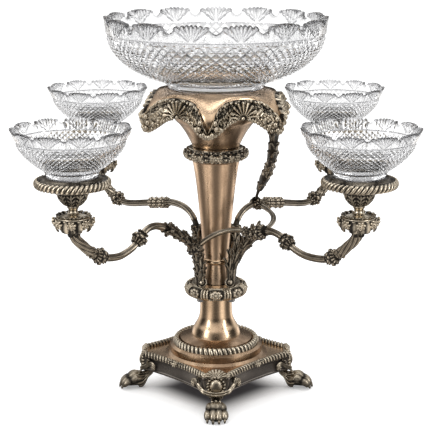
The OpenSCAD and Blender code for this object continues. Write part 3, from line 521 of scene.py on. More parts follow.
# %% One bowl
def glass_bowl(name, body, centre, size):
    """A closed cut-glass bowl standing on its CAD seat."""
    around, ratio, foot_ratio, wall = size["diamonds"], size["ratio"], 4, size["wall"]
    columns, foot_columns = around * ratio, around * foot_ratio
    mitre_r, mitre_h, foot_h, flare = size["mitre_r"], size["mitre_h"], size["foot_h"], size["flare"]
    net, tops = diamond_net(bowl_curve(size["foot_top_r"], foot_h, mitre_r, mitre_h, 60, flare), around)
    foot = spun(foot_outline(size), foot_columns)
    groove = spun(np.array([[mitre_r - size["groove"], mitre_h]]), columns)
    rim, rim_shade = rim_sheet(size, columns)
    rim[0, :, 2] += 0.6
    edge = rim[-1]
    radial = edge[:, :2] / np.linalg.norm(edge[:, :2], axis=1, keepdims=True)
    crest = np.concatenate([edge[:, :2] - 0.5 * wall * radial, edge[:, 2:] + 0.4], -1)[None]
    lip = np.concatenate([(size["rim_r"] - wall - 0.2 * wall) * radial, edge[:, 2:] - 0.5], -1)[None]
    inner = bowl_curve(0.8 * size["foot_top_r"], foot_h + wall, mitre_r - wall, mitre_h, 22, flare)
    inside = spun(np.concatenate([inner[::-1], [[1.0, foot_h + wall]]]), columns)
    upper = np.concatenate([groove, rim, crest, lip, inside])
    points = np.concatenate([*net, *tops, foot.reshape(-1, 3), upper.reshape(-1, 3)])

    # Painted shade: the net's grooves, the mitre groove, the rim's crest and lip and rings of the foot
    # are darkened.
    net_shade = np.where(np.arange(len(net)) < len(net) - 2, 1, 0.86)
    hollow = np.concatenate([
        np.repeat(net_shade, around), np.zeros(len(tops) * around),
        np.repeat(FOOT_SHADE, foot_columns), np.ones(columns), rim_shade.ravel(),
        np.full(2 * columns, 0.92), np.zeros(len(inside) * columns)])

    foot_at = 2 * len(net) * around
    upper_at = foot_at + len(foot) * foot_columns
    top_turn = ratio // 2 if (len(net) - 1) % 2 else 0
    cut_faces = diamond_faces(len(net), around)
    cut_faces += zip_rings((len(net) - 1) * around, upper_at, top_turn, around, ratio, True)
    cut_faces += zip_rings(0, upper_at - foot_columns, 0, around, foot_ratio, False)
    caps = [tuple(range(foot_at, foot_at + foot_columns))[::-1],
            tuple(range(len(points) - columns, len(points)))]
    skin = (sheet(foot)[1] + foot_at).tolist() + (sheet(upper)[1] + upper_at).tolist()
    faces = cut_faces + caps + skin
    flat = np.arange(len(faces)) < len(cut_faces)
    made = make_mesh(name, points + centre, faces, hollow, GLASS, flat)
    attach(made, body)
    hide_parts(name.replace("_cut", ""))
    return made


print("bowl maker ready")

# %% Five bowls
CENTRE_BOWL = dict(
    foot_r=52, foot_top_r=55.8, foot_h=7, wall=6, flare=0.21, diamonds=72, ratio=16,
    mitre_r=117.5, mitre_h=58, groove=1.2, rim_r=120.0, rim_h=76.6, rim_rows=27,
    fans=15, rays=7, ray_cut=0.9, tooth=3.0, gap_w=13.5, gap_d=9.5)
SMALL_BOWL = dict(
    foot_r=25.5, foot_top_r=27.5, foot_h=6, wall=4.5, flare=0.52, diamonds=55, ratio=14,
    mitre_r=54.6, mitre_h=36, groove=0.9, rim_r=60.0, rim_h=48.7, rim_rows=21,
    fans=11, rays=7, ray_cut=0.6, tooth=2.1, gap_w=6.8, gap_d=5.2)
CORNERS = {"front_left": (-1, -1), "front_right": (1, -1), "back_right": (1, 1), "back_left": (-1, 1)}
ARM_REACH = 200  # from the column's axis to that of a small bowl
REACH = ARM_REACH / math.sqrt(2)
seat = np.array([0, 0, node_box("centre_bowl")[0][2]])
glass_bowl("centre_bowl_cut", "centre_bowl", seat, CENTRE_BOWL)
for corner, (x, y) in CORNERS.items():
    seat = np.array([x * REACH, y * REACH, node_box("small_bowl_" + corner)[0][2]])
    glass_bowl(f"small_bowl_{corner}_cut", "small_bowl_" + corner, seat, SMALL_BOWL)
print("bowls cut:", 1 + len(CORNERS))

# %% [markdown]
# ## Chased relief
# A chaser raises ornament from the back of the metal as rounded ridges: leaf lobes, scrolls, shell
# flutes, petals and beads are all drops or lines of one kind. So a motif here is a list of discs,
# each with a place, a radius and a height, strung along curves. The relief at a point is the
# highest dome that covers it, which gives the rounded ridges and sharp valleys of chasing.

# %% Discs and motifs
def line(path, wide, tip_wide=None):
    """Discs along a path that merge into one rounded ridge, tapering to tip_wide."""
    place, dense = along(np.array(path, float), 0.35)
    share = place / place[-1]
    radius = wide + ((wide if tip_wide is None else tip_wide) - wide) * share
    return np.column_stack([dense, radius, np.ones(len(dense))])


def turn_to(x, y, heading, length):
    """The point at a distance in a direction, which is in degrees from +x."""
    angle = math.radians(heading)
    return x + length * math.cos(angle), y + length * math.sin(angle)


def curl(x, y, heading, size, hand, wide):
    """A scroll that starts along a heading and winds up to the left (hand 1) or right (hand -1)."""
    path, angle = [(x, y)], math.radians(heading)
    for share in np.linspace(0, 1, 40):
        radius = size * (1 - 0.82 * share)
        step = 2 * math.pi * 1.1 * size * 0.55 / 40
        angle += hand * step / radius
        x, y = x + step * math.cos(angle), y + step * math.sin(angle)
        path.append((x, y))
    eye = np.array([[x, y, 1.25 * wide, 1.0]])
    return np.concatenate([line(path, wide, 0.7 * wide), eye])


def fan(x, y, heading, spread, rays, length, wide):
    """Flutes of a shell, each widening outwards from a common root."""
    flutes = []
    for angle in np.linspace(heading - spread, heading + spread, rays):
        start, end = turn_to(x, y, angle, 0.25 * length), turn_to(x, y, angle, length)
        flutes.append(line([start, end], 0.35 * wide, wide))
    return np.concatenate(flutes)


def rosette(x, y, petals, size):
    """A flower of round petals with a bead in the middle."""
    around = [turn_to(x, y, 360 * k / petals, 0.6 * size) for k in range(petals)]
    discs = [[px, py, 0.36 * size, 0.9] for px, py in around] + [[x, y, 0.3 * size, 1.0]]
    return np.array(discs)


def filling(half_w, y_low, y_high, pitch, size):
    """Small lobes packed over a field, to fill the ground between larger motifs."""
    discs = []
    for j, y in enumerate(np.arange(y_low, y_high, 0.87 * pitch)):
        for i, x in enumerate(np.arange(-half_w, half_w, pitch)):
            sway = math.sin(12.9 * i + 78.2 * j), math.sin(39.3 * i + 11.1 * j)
            discs.append([x + (j % 2) * pitch / 2 + 0.25 * pitch * sway[0], y + 0.25 * pitch * sway[1],
                          size * (1 + 0.2 * sway[1]), 0.62 + 0.12 * sway[0]])
    return np.array(discs)


def mirrored_motif(discs):
    """A motif and its mirror image across x = 0."""
    return np.concatenate([discs, discs * [-1, 1, 1, 1]])


def relief(discs, x, y):
    """Height over points (x, y): 0 on the ground, 1 on the highest ridges."""
    height = np.zeros(np.broadcast(x, y).shape)
    for place_x, place_y, radius, tall in discs:
        rise = 1 - ((x - place_x) ** 2 + (y - place_y) ** 2) / radius ** 2
        np.maximum(height, tall * np.sqrt(np.clip(rise, 0, None)), out=height)
    return height


print("relief tools ready")

# %% [markdown]
# ## Turned skins
# The spun parts are outlines turned about the axis. Such a skin takes a relief: it lies on the CAD
# surface where the relief is 1, and is cut in below it.

# %% Turned skin
def smooth(points, steps):
    """A smooth curve through points, the same kind as in the CAD source."""
    points = np.array(points, float)
    padded = np.concatenate([points[:1], points, points[-1:]])
    rows = []
    for a, b, c, d in zip(padded, padded[1:], padded[2:], padded[3:]):
        t = np.arange(steps)[:, None] / steps
        second, third = 2 * a - 5 * b + 4 * c - d, 3 * b - a - 3 * c + d
        rows.append(0.5 * (2 * b + (c - a) * t + second * t ** 2 + third * t ** 3))
    return np.concatenate([*rows, points[-1:]])


def turned(outline, columns, step, cut=0.0, pattern=None):
    """Spins an outline; pattern(angle, along, length) gives the relief, cut its depth."""
    place, dense = along(np.array(outline, float), step)
    tangent = np.gradient(dense, axis=0)
    tangent /= np.linalg.norm(tangent, axis=1, keepdims=True)
    angle = 2 * math.pi * np.arange(columns) / columns
    height = np.ones((len(place), columns))
    if pattern:
        height = pattern(np.broadcast_to(angle, height.shape), place[:, None] + 0 * angle, place[-1])
    sunk = cut * (1 - height)
    r = dense[:, :1] - sunk * tangent[:, 1:]
    z = dense[:, 1:] + sunk * tangent[:, :1]
    points = np.stack([r * np.cos(angle), r * np.sin(angle), z], -1)
    return sheet(points, np.clip((0.8 - height) / 0.5, 0, 1))


def moved(part, offset):
    """A part shifted by an offset."""
    return part[0] + np.array(offset, float), part[1], part[2]


def repeated(discs, count, radius, low=0.0, high=1e3, turn=0.0):
    """A motif repeated round a band between two lengths along the outline; the rest stays plain."""
    def pattern(angle, place, length):
        x = ((angle * count / (2 * math.pi) + turn) % 1 - 0.5) * 2 * math.pi * radius / count
        return np.where((place > low) & (place < high), relief(discs, x, place), 0.8)
    return pattern


def gadroons(count, slant):
    """A pattern of rounded lobes side by side, leaning by slant lobes over the band."""
    def pattern(angle, place, length):
        lobe = (angle * count / (2 * math.pi) + slant * place / length) % 1 - 0.5
        return 1 - np.abs(2 * lobe) ** 2.2
    return pattern


print("turned skins ready")

# %% [markdown]
# ## The column
# The stem, neck, shaft and cone are plain spun silver, so all they need is a smooth turned skin
# that takes clean reflections. Their outlines are those of the CAD source.

# %% Plain turned pieces
def seam(angle, place, length):
    """Relief of a plain skin that drops to a dark line where the next piece sits on it."""
    return 1 - 0.9 * np.exp(-(length - place) ** 2)


def spun_piece(node_name, outline, r_low, r_high, finish=COLUMN):
    """A plain spun piece between the bottom and the top of its CAD node."""
    low, high = node_box(node_name)
    curve = smooth(outline, 8)
    r, z = r_low + (r_high - r_low) * curve[:, 0], low[2] + (high[2] - low[2]) * curve[:, 1]
    skin = turned(np.column_stack([r, z]), 192, 0.8, 0.0, seam)
    return make_piece(node_name + "_skin", [skin], finish, "stand", [node_name])


spun_piece("lower_stem", [(0, 0), (0.06, 0.06), (0.28, 0.19), (0.62, 0.31), (0.87, 0.43), (0.97, 0.56),
                          (1, 0.75), (1, 1)], 27.7, 18)
# The neck takes the shaft's lighter finish as a painted highlight.
spun_piece("column_neck", [(0, 0), (0.35, 0.2), (0.75, 0.5), (1, 0.85), (1, 1)], 15.5, 11.8, SHAFT)
spun_piece("column_shaft", [(0, 0), (0.28, 0.34), (0.6, 0.7), (0.84, 0.9), (1, 1)], 13.5, 26, SHAFT)
spun_piece("capital_cone", [(0, 0), (0.06, 0.06), (0.32, 0.25), (0.6, 0.4), (0.85, 0.5), (0.98, 0.66),
                            (1, 1)], 26, 49, DOME)
print("column turned")

# %% Collars
def collar_outline(node_name, r, r_low, r_high):
    """The bulging outline of a round collar, as in the CAD source."""
    low, high = node_box(node_name)
    angle = np.radians(np.linspace(-75, 75, 25))
    bulge = (np.cos(angle) - math.cos(math.radians(75))) / (1 - math.cos(math.radians(75)))
    edge = np.linspace(r_low, r_high, 25)
    z = low[2] + (high[2] - low[2]) * (0.5 + 0.5 * np.sin(angle) / math.sin(math.radians(75)))
    side = np.column_stack([edge + (r - edge) * bulge, z])
    return np.concatenate([[[r_low - 12, low[2]]], side, [[r_high - 12, high[2]]]])


moulding = turned(collar_outline("column_moulding", 15, 11.8, 13.5), 160, 0.7)
make_piece("column_moulding_skin", [moulding], COLUMN, "stand", ["column_moulding"])

STRAP = np.concatenate([line([(10.4, 12.5), (10.4, 34)], 1.3), line([(13.4, 12.5), (13.4, 34)], 1.0),
                        line([(0, 33.5), (8, 33)], 1.3), line([(0, 13.5), (8, 14)], 1.3)])
ROSE_BAND = np.concatenate([mirrored_motif(STRAP), rosette(0, 23.5, 7, 8.4),
                            filling(9, 15, 33, 3.3, 1.6) * [1, 1, 1, 0.7]])
roses = turned(collar_outline("lower_collar", 36, 29, 29), 480, 0.5, 2.8,
               repeated(ROSE_BAND, 8, 35, 11, 36, 0.5))
make_piece("lower_collar_roses", [roses], CAST, "stand", ["lower_collar"])

SCROLL_SIDE = np.concatenate([
    curl(4.5, 15.5, 20, 4.4, 1, 1.4), curl(4.5, 28.5, -20, 3.6, -1, 1.3),
    [[11, 14.5, 2.0, 0.9], [11, 21, 2.3, 1.0], [11, 27.5, 2.0, 0.9],
     [5.5, 12.3, 1.7, 0.95], [6, 32, 1.7, 0.95]]])
SCROLL_BAND = np.concatenate([
    rosette(0, 22, 6, 6.4), mirrored_motif(SCROLL_SIDE),
    [[0, 12.5, 1.8, 0.95], [0, 31.5, 1.8, 0.95]], filling(11, 12.5, 33, 3.1, 1.6) * [1, 1, 1, 0.85]])
scrolls = turned(collar_outline("upper_collar", 36.5, 28, 26), 480, 0.5, 2.8,
                 repeated(SCROLL_BAND, 10, 35.5, 10.5, 34))
make_piece("upper_collar_scrolls", [scrolls], CAST, "stand", ["upper_collar"])
print("collars chased")

# %% [markdown]
# ## The base
# A rope of slanting gadroons lies on the dome's shoulder. It is half a ring in section, turned like
# the collars, with the lobes leaning as they go over it.

# %% Rope ring
low, high = node_box("base_rope_ring")
rope_r, rope_half = 0.5 * (48.5 + 40.7), 3.9
foot_z, rise = low[2] + 0.3, high[2] - low[2] - 0.3
half_round = [(rope_r + rope_half * math.cos(a), foot_z + rise * math.sin(a))
              for a in np.linspace(0, math.pi, 25)]
rope = turned(half_round, 864, 0.6, 1.5, gadroons(54, 0.75))
make_piece("base_rope", [rope], CAST, "stand", ["base_rope_ring"])
print("rope ring wound")

# %% [markdown]
# ## Leaves and flowers
# Cast leaves and flowers hide every joint of such a piece. A leaf is a tube swept along a curve,
# flattened, with a waved edge and ribs cut in, and its tip may roll up. A flower is a small turned
# skin whose petals are cut between its rim and its bead. Both are modelled once as functions and
# set wherever the casting has them.

# %% Swept skin
def swept(path, wide, thick, across, columns, cut=0.0, height=None, dark=1.0, ground=0.0):
    """A tube along a path, with half sizes wide along the direction across, and thick square to it.

    height is its relief and cut the depth of that; dark and ground set how much tarnish lies in it.
    """
    path = np.array(path, float)
    wide = np.broadcast_to(wide, len(path))
    thick = wide if thick is None else np.broadcast_to(thick, len(path))
    tangent = np.gradient(path, axis=0)
    tangent /= np.linalg.norm(tangent, axis=1, keepdims=True)
    side = np.array(across, float) - (tangent @ np.array(across, float))[:, None] * tangent
    side /= np.linalg.norm(side, axis=1, keepdims=True)
    up = np.cross(tangent, side)
    angle = 2 * math.pi * np.arange(columns) / columns
    height = np.ones((len(path), columns)) if height is None else height
    shrink = 1 - cut * (1 - height) / np.maximum(wide, 1e-6)[:, None]
    ring = (wide[:, None] * shrink * np.cos(angle))[..., None] * side[:, None] \
        + (thick[:, None] * shrink * np.sin(angle))[..., None] * up[:, None]
    points = path[:, None] + ring
    points = np.concatenate([0 * points[:1] + path[0], points, 0 * points[:1] + path[-1]])
    hollow = np.clip(ground + dark * (1.1 - 1.2 * height), 0, 1)
    return sheet(points, np.concatenate([hollow[:1], hollow, hollow[-1:]]))


print("swept skins ready")

# %% Leaves and flowers
def leaf(root, out, rise, length, wide, bend, hook, tone=0.05, thick=1.15):
    """A lobed leaf that leaves root along rise, bends towards out and rolls up its tip by hook."""
    root, out, rise = np.array(root, float), np.array(out, float), np.array(rise, float)
    share = np.linspace(0, 1, 22)
    angle = np.radians(bend) * share + np.radians(hook) * np.clip(share - 0.6, 0, 1) / 0.4
    run, climb = [np.cumsum(part) * length / 21 for part in (np.sin(angle), np.cos(angle))]
    path = root + run[:, None] * out + climb[:, None] * rise
    lobes = 1 + 0.13 * np.cos(9 * math.pi * share)
    blade = wide * np.sin(math.pi * (0.16 + 0.70 * share)) ** 0.6 * lobes
    rib = 0.5 + 0.5 * np.cos(6 * math.pi * np.arange(18) / 18) + 0 * share[:, None]
    rib = rib * np.clip(0.35 + 2 * share, 0, 1)[:, None]
    return swept(path, blade, thick, np.cross(rise, out), 18, 0.6, rib, 0.95, tone)


def aimed(part, centre, axis):
    """A part modelled along +Z, turned to point along an axis from a centre."""
    axis = np.array(axis, float) / np.linalg.norm(axis)
    side = np.cross((0.0, 1.0, 0.0) if abs(axis[1]) < 0.9 else (1.0, 0.0, 0.0), axis)
    side /= np.linalg.norm(side)
    axes = np.stack([side, np.cross(axis, side), axis])
    return part[0] @ axes + np.array(centre, float), part[1], part[2]


def flower(size, petals):
    """A round flower that faces +Z: a bead in a ring of petals."""
    outline = np.array([(1.0, 0), (0.95, 0.35), (0.7, 0.5), (0.45, 0.36), (0.36, 0.42), (0.24, 0.62),
                        (0.002, 0.7)]) * size

    def petal(angle, place, length):
        return np.where(place < 0.52 * length, np.abs(np.cos(petals * angle / 2)) ** 0.6, 1.0)
    return turned(smooth(outline, 3), 12 * petals, 0.3, 0.4 * size, petal)


print("leaves and flowers ready")

# %% [markdown]
# ## The plinth
# The plinth's top edge carries a gadroon border, smaller than the rope ring, with a flower between
# two leaves in the middle of each side. Its wall is plain, with a moulding round the lower edge, and
# its dark tone is a painted reflection of the shaded floor. Both follow one outline with incurved
# sides and canted corners.

# %% Border of the plinth
CORNER_R, HALF_CANT, INCURVE = 81.0, 13.0, 4.0
SIDE_MIDDLE = 62.6  # from the axis to the border in the middle of a side


def plinth_outline(grow, step):
    """Places round the plinth's incurved sides and canted corners, with their outward directions."""
    side = []
    for share in np.linspace(0, 1, 60):
        bow = 4 * INCURVE * share * (1 - share)
        start, end = np.array([CORNER_R, HALF_CANT]), np.array([HALF_CANT, CORNER_R])
        side.append(start + (end - start) * share + (grow - bow) / math.sqrt(2))
    side = np.array(side)
    side[0], side[-1] = (CORNER_R + grow, HALF_CANT), (HALF_CANT, CORNER_R + grow)
    loop = [side]
    for _ in range(3):
        loop.append(loop[-1] @ np.array([[0, 1], [-1, 0]]))
    place, loop = along(np.concatenate([*loop, loop[0][:1]]), step)
    place, loop = place[:-1], loop[:-1]
    tangent = np.roll(loop, -1, 0) - np.roll(loop, 1, 0)
    tangent /= np.linalg.norm(tangent, axis=1, keepdims=True)
    return place, loop, np.column_stack([tangent[:, 1], -tangent[:, 0]])


def edge_trim(grow, half_w, height, z, step, count, cut):
    """A half-round strip along the plinth's outline, with slanting gadroons."""
    place, loop, outward = plinth_outline(grow, step)
    total = place[-1] + step
    angle = np.linspace(-0.1, math.pi + 0.1, 17)[:, None]
    lobe = (place[None, :] * count / total + 0.8 * angle / math.pi) % 1 - 0.5
    rise = 1 - np.abs(2 * lobe) ** 2.2
    span = half_w - cut * (1 - rise)
    tall = height - cut * (1 - rise)
    xy = loop[None] + (span * np.cos(angle))[..., None] * outward[None]
    points = np.concatenate([xy, (z + tall * np.clip(np.sin(angle), -0.2, 1))[..., None]], -1)
    return sheet(points, np.clip((0.8 - rise) / 0.5, 0, 1))


border_z = node_box("base_border")[0][2]
border = [edge_trim(-1.5, 3.5, 5.0, border_z, 0.4, 112, 1.6)]
for angle in np.radians((45, 135, 225, 315)):
    out = np.array([math.cos(angle), math.sin(angle), 0])
    along_side = np.array([-out[1], out[0], 0])
    middle = SIDE_MIDDLE * out + (0, 0, border_z)
    border.append(aimed(flower(3.9, 6), middle + 1.8 * out + (0, 0, 1.6), out + (0, 0, 0.55)))
    for hand in (-1, 1):
        root = middle + 3.0 * hand * along_side + (0, 0, 3.2)
        border.append(leaf(root, (0, 0, 1), hand * along_side, 9, 2.4, 0, 20))
make_piece("plinth_border", border, FOOT, "stand", ["base_border"])
print("border trimmed with", len(border), "parts")

# %% Wall of the plinth
plinth_z = node_box("base_plinth")[0][2]
profile = np.array([(0.3, 0.2), (1.6, 0.6), (2.2, 1.7), (1.6, 2.8), (0.5, 3.4),
                    (0.3, 4.2), (0.3, 13.6), (0.9, 14.2), (1.6, 15.2), (1.6, 17)])
place, loop, outward = plinth_outline(0, 1.0)
wall = loop + profile[:, :1, None] * outward
height = np.broadcast_to(plinth_z + profile[:, 1:, None], (*wall.shape[:2], 1))
apron = np.concatenate([wall, height], -1)
# Painted reflection: the wall is dim and the recess over the moulding darkest; the moulding's rounds
# stay bright.
shade = np.where(profile[:, :1] > 0.8, 0.0, np.where(profile[:, :1] > 0.4, 0.9, 0.25))
make_piece("plinth_apron", [sheet(apron, shade)], BAND, "stand")
print("plinth wall", len(loop), "columns round")

# %% [markdown]
# ## The capital
# The canopy is one sheet of silver with six drooping corners and an arch between each two, turned
# a few degrees against the base. A cast swag follows each arch: a shell at the crest, a scroll to
# each side of it, flowers, and round lobes along the upper edge. Between two swags a plain tongue
# of the canopy stays bare. Buds hang along the lower edge towards the corners.

# %% Canopy
CORNER_LINE = smooth([(52, 0), (64, 5.04), (73, 11.76), (79.6, 20.16), (82, 29.82), (76.5, 42)], 8)
ARCH_LINE = smooth([(52, 0), (61.75, 1.56), (65, 4.94), (65, 11.44), (65, 18.46), (65, 26)], 8)
FRONT_CORNER = math.radians(264)
seat_z = node_box("capital_canopy")[1][2]


def canopy_at(place, angle, grow):
    """Points of the canopy at places 0 to 5 down its outline and angles from the front corner."""
    place, angle, grow = np.broadcast_arrays(place, angle, grow)
    row = np.arange(len(CORNER_LINE)) / 8
    share = (0.5 + 0.5 * np.cos(6 * angle)) ** 1.8
    r, drop = [np.interp(place, row, arch) * (1 - share) + np.interp(place, row, corner) * share
               for arch, corner in zip(ARCH_LINE.T, CORNER_LINE.T)]
    turn = FRONT_CORNER + angle
    return np.stack([(r + grow) * np.cos(turn), (r + grow) * np.sin(turn), seat_z - drop], -1)


around = np.radians(np.arange(360))[None, :]
down = np.linspace(0, 5, 61)[:, None]
canopy = np.concatenate([canopy_at(down, around, 0), canopy_at(down[::-1], around, -2.5)])
# Painted shade: the top rows, where the bowl's foot sits over them, and the inner sheet are darkened.
shade = np.concatenate([np.where(down < 0.12, 0.9, 0.0), 0.6 + 0 * down])
make_piece("canopy_sheet", [sheet(canopy, shade)], COLUMN, "stand", ["capital_canopy"])
print("canopy drawn down to", round(canopy[..., 2].min(), 1))

# %% Swags
# The bare tongue over a corner: its length, and how far its edge has risen at shares of half an arch.
TONGUE, HALF_ARCH = 36, 40
BARE = np.array([(0, 0), (0.09, 0.2), (0.17, 0.47), (0.25, 0.64), (0.38, 0.8), (0.52, 0.93), (0.7, 1),
                 (1, 1.05), (1.2, 1.2)])


def swag_top(off):
    """Place down the outline where a swag's upper edge lies, by the angle from the nearest corner."""
    place = np.linspace(2, 5, 241)[:, None]
    points = canopy_at(place, off[None, :], 0)
    beside = np.hypot(points[..., 0], points[..., 1]) * np.sin(off)
    bare = seat_z - TONGUE + TONGUE * np.interp(beside / HALF_ARCH, BARE[:, 0], BARE[:, 1])
    return np.max(np.where(points[..., 2] > bare, place, 2), axis=0)


def bud(centre, size):
    """A round bud that hangs down."""
    share = np.linspace(0, 1, 12)
    path = centre + np.array([0, 0, -1.0]) * size * 2.2 * (share - 0.4)[:, None]
    wide = size * np.sin(math.pi * (0.12 + 0.8 * share)) ** 0.7
    return swept(path, wide, None, (0.3, 0.9, 0.1), 12)


SWAG_SIDE = np.concatenate([
    line([(5.0, 0.6), (8, 3.4), (12, 4.6), (16, 4.0), (19.5, 1.6), (21.0, 0)], 1.3),
    curl(19.5, 4.5, 60, 3.6, -1, 1.4),
    rosette(26.5, 10.5, 6, 5.4), rosette(35.0, 6.5, 6, 4.6), line([(15, 8.0), (19.5, 14)], 1.3, 2.0),
    line([(18.5, 8.0), (21.5, 12.5)], 1.2, 1.7), line([(10.5, 7.5), (14, 9.5)], 1.4, 1.1),
    line([(28, 3.0), (31.5, 1.2)], 1.6, 1.2), line([(30.5, 14.5), (33.5, 11.5)], 1.8, 1.4)])
SWAG = np.concatenate([
    fan(0, 1.5, 90, 74, 9, 16.5, 1.9), [[0, 2.0, 2.6, 1.0]], mirrored_motif(SWAG_SIDE)])
GROUND = filling(44, 0.8, 27, 3.5, 1.7)
EDGE = np.array([[4.3 * k + 0.9 * math.sin(5.1 * k), 1.9 + 0.9 * math.sin(2.3 * k),
                  2.4 + 0.5 * math.sin(3.7 * k), 1.0] for k in range(-11, 12)])


def swag(name, middle):
    """One swag of the canopy, with its middle at an angle in degrees from the front corner."""
    turn = np.radians(np.linspace(-29.8, 29.8, 320))
    top = swag_top(math.radians(30) - np.abs(turn))
    share = np.linspace(0, 1, 64)[:, None]
    place = 5 + (top - 5) * share
    angle = math.radians(middle) + turn[None, :]
    flat = canopy_at(place, angle, 0.4)
    x = np.concatenate([[0], np.cumsum(np.linalg.norm(np.diff(flat[20], axis=0), axis=1))])
    x = x - x[-1] / 2
    y = np.cumsum(np.linalg.norm(np.diff(flat, axis=0), axis=2), axis=0)
    y = np.concatenate([np.zeros((1, 320)), y])
    motif, ground = relief(SWAG, x[None, :], y), relief(GROUND, x[None, :], y)
    covered = relief(SWAG * [1, 1, 1.22, 1], x[None, :], y) > 0
    height = np.where(covered, motif, ground)
    edge = relief(EDGE, x[None, :], y[-1] - y)
    height = np.where((y > y[-1] - 4.2) & (np.abs(x) > 7), edge, height)
    skin = canopy_at(place, angle, 1.4 + 5.0 * height)
    skin = np.concatenate([canopy_at(place[:1], angle, -2.4), skin, canopy_at(place[-1:], angle, 0.1)])
    hollow = np.clip((0.74 - height) / 0.6, 0, 1)
    parts = [sheet(skin, np.concatenate([hollow[:1], hollow, hollow[-1:]]), ring=False)]
    for off in np.arange(7.0, 29.6, 2.5):
        for side in (-1, 1):
            at = canopy_at(4.9, math.radians(middle + side * off), 2.4)
            parts.append(bud(at, 2.2 + 0.7 * math.sin(5 * off)))
    for off, place_down in ((24, 4.3), (27, 4.65), (29, 4.8), (21, 4.6), (24.6, 3.7)):
        for side in (-1, 1):
            at = canopy_at(place_down, math.radians(middle + side * off), 5.2)
            parts.append(bud(at, 2.5))
    return make_piece(name + "_chased", parts, CAST, "stand", [name])


SWAGS = {"front_left": -30, "front_right": 30, "right": 90, "back_right": 150, "back_left": 210,
         "left": 270}
for side, middle in SWAGS.items():
    swag("capital_swag_" + side, middle)
print("swags chased:", len(SWAGS), "with", len(SWAG), "discs each")

# %% [markdown]
# ## The branches
# A branch starts as a leafy stalk on the rosette collar, passes through a sheath of leaves into a
# plain tube with knuckles of leaves and beads, and ends in a spirally fluted piece under the socket.
# The two front branches differ a little, as in the photograph. Routes are shares of the run from
# root to socket and of the rise, with the tube's diameter, as in the CAD source.

# %% Routes
FRONT_LEFT = [(0, 0, 12), (0.01, 0.22, 12), (0.035, 0.42, 12), (0.09, 0.56, 10), (0.18, 0.69, 10),
              (0.28, 0.8, 10), (0.36, 0.865, 8), (0.42, 0.87, 8), (0.465, 0.835, 8), (0.508, 0.77, 8),
              (0.555, 0.69, 8), (0.61, 0.645, 8), (0.67, 0.62, 8), (0.75, 0.635, 8), (0.815, 0.68, 8),
              (0.865, 0.735, 11), (0.925, 0.825, 11), (0.98, 0.93, 11), (1, 1, 11)]
FRONT_RIGHT = [(0, 0, 12), (0.004, 0.18, 12), (0.045, 0.36, 12), (0.115, 0.54, 12), (0.18, 0.675, 12),
               (0.23, 0.74, 10), (0.285, 0.775, 10), (0.345, 0.79, 8), (0.41, 0.765, 8),
               (0.465, 0.71, 8), (0.53, 0.645, 8), (0.62, 0.605, 8), (0.74, 0.615, 8), (0.82, 0.67, 8),
               (0.87, 0.735, 11), (0.925, 0.825, 11), (0.98, 0.93, 11), (1, 1, 11)]
BACK = [(0, 0, 12), (0.01, 0.2, 12), (0.022, 0.41, 12), (0.036, 0.6, 10), (0.078, 0.75, 8),
        (0.155, 0.835, 8), (0.27, 0.855, 8), (0.385, 0.815, 8), (0.49, 0.78, 8), (0.65, 0.72, 8),
        (0.745, 0.705, 8), (0.815, 0.735, 8), (0.875, 0.79, 11), (0.93, 0.86, 11), (0.982, 0.94, 11),
        (1, 1, 11)]
BRANCHES = {"front_left": (FRONT_LEFT, 225), "front_right": (FRONT_RIGHT, 315),
            "back_right": (BACK, 45), "back_left": (BACK, 135)}
STEPS = 12  # points per stretch of a route
ROOT_R, ROOT_Z, RISE = 24, 127, 92


def branch_path(corner):
    """Points along a branch, the tube's radius at each, and the direction square to its plane."""
    route, angle = BRANCHES[corner]
    rows, angle = smooth(route, STEPS), math.radians(angle)
    r = ROOT_R + (ARM_REACH - ROOT_R) * rows[:, 0]
    path = np.column_stack([r * math.cos(angle), r * math.sin(angle), ROOT_Z + RISE * rows[:, 1]])
    return path, rows[:, 2] / 2, np.array([-math.sin(angle), math.cos(angle), 0])


def on_branch(corner, place):
    """A point on a branch, at a count of points along its route."""
    return branch_path(corner)[0][int(round(place * STEPS))]


print("routes ready for", ", ".join(BRANCHES))

# %% Leaves and knuckles along a tube
def tube_leaves(path, radius, across, place, count, turn, length, wide, bend, hook, thick):
    """A whorl of leaves on a tube, lying along it with their tips curling off."""
    k = int(round(place * STEPS))
    ahead = path[min(k + 2, len(path) - 1)] - path[max(k - 2, 0)]
    ahead /= np.linalg.norm(ahead)
    up = np.cross(ahead, across)
    parts = []
    for angle in np.radians(turn + 360 * np.arange(count) / count):
        out = math.cos(angle) * across + math.sin(angle) * up
        root = path[k] + 0.72 * radius[k] * out
        parts.append(leaf(root, out, ahead, length, wide, bend, hook, 0.05, thick))
    return parts


KNUCKLE_SIDE = np.concatenate([
    [[3.9, 6.6, 1.7, 0.9], [3.9, 12.4, 1.7, 0.9]],
    line([(3.9, 1.5), (3.9, 3.6)], 1.0), line([(3.9, 15.5), (3.9, 18)], 1.0)])
KNUCKLE = np.concatenate([
    mirrored_motif(KNUCKLE_SIDE), [[0, 9.5, 2.7, 1.0]],
    line([(0, 1.5), (0, 3.6)], 1.2), line([(0, 15.5), (0, 18)], 1.2)])
KNOT = smooth([(3.6, -7.6), (5.6, -7.0), (6.0, -5.6), (5.0, -4.6), (7.4, -2.8), (8.4, 0), (7.4, 2.8),
               (5.0, 4.6), (6.0, 5.6), (5.6, 7.0), (3.6, 7.6)], 5)
RINGS = smooth([(3.6, -11), (5.4, -10), (7.2, -8.4), (5.4, -6.6), (5.4, -5.0), (7.2, -3.2),
                (5.6, -1.4), (5.6, 1.4), (7.2, 3.2), (5.4, 5.0), (5.4, 6.6), (7.2, 8.4), (5.4, 10),
                (3.6, 11)], 4)


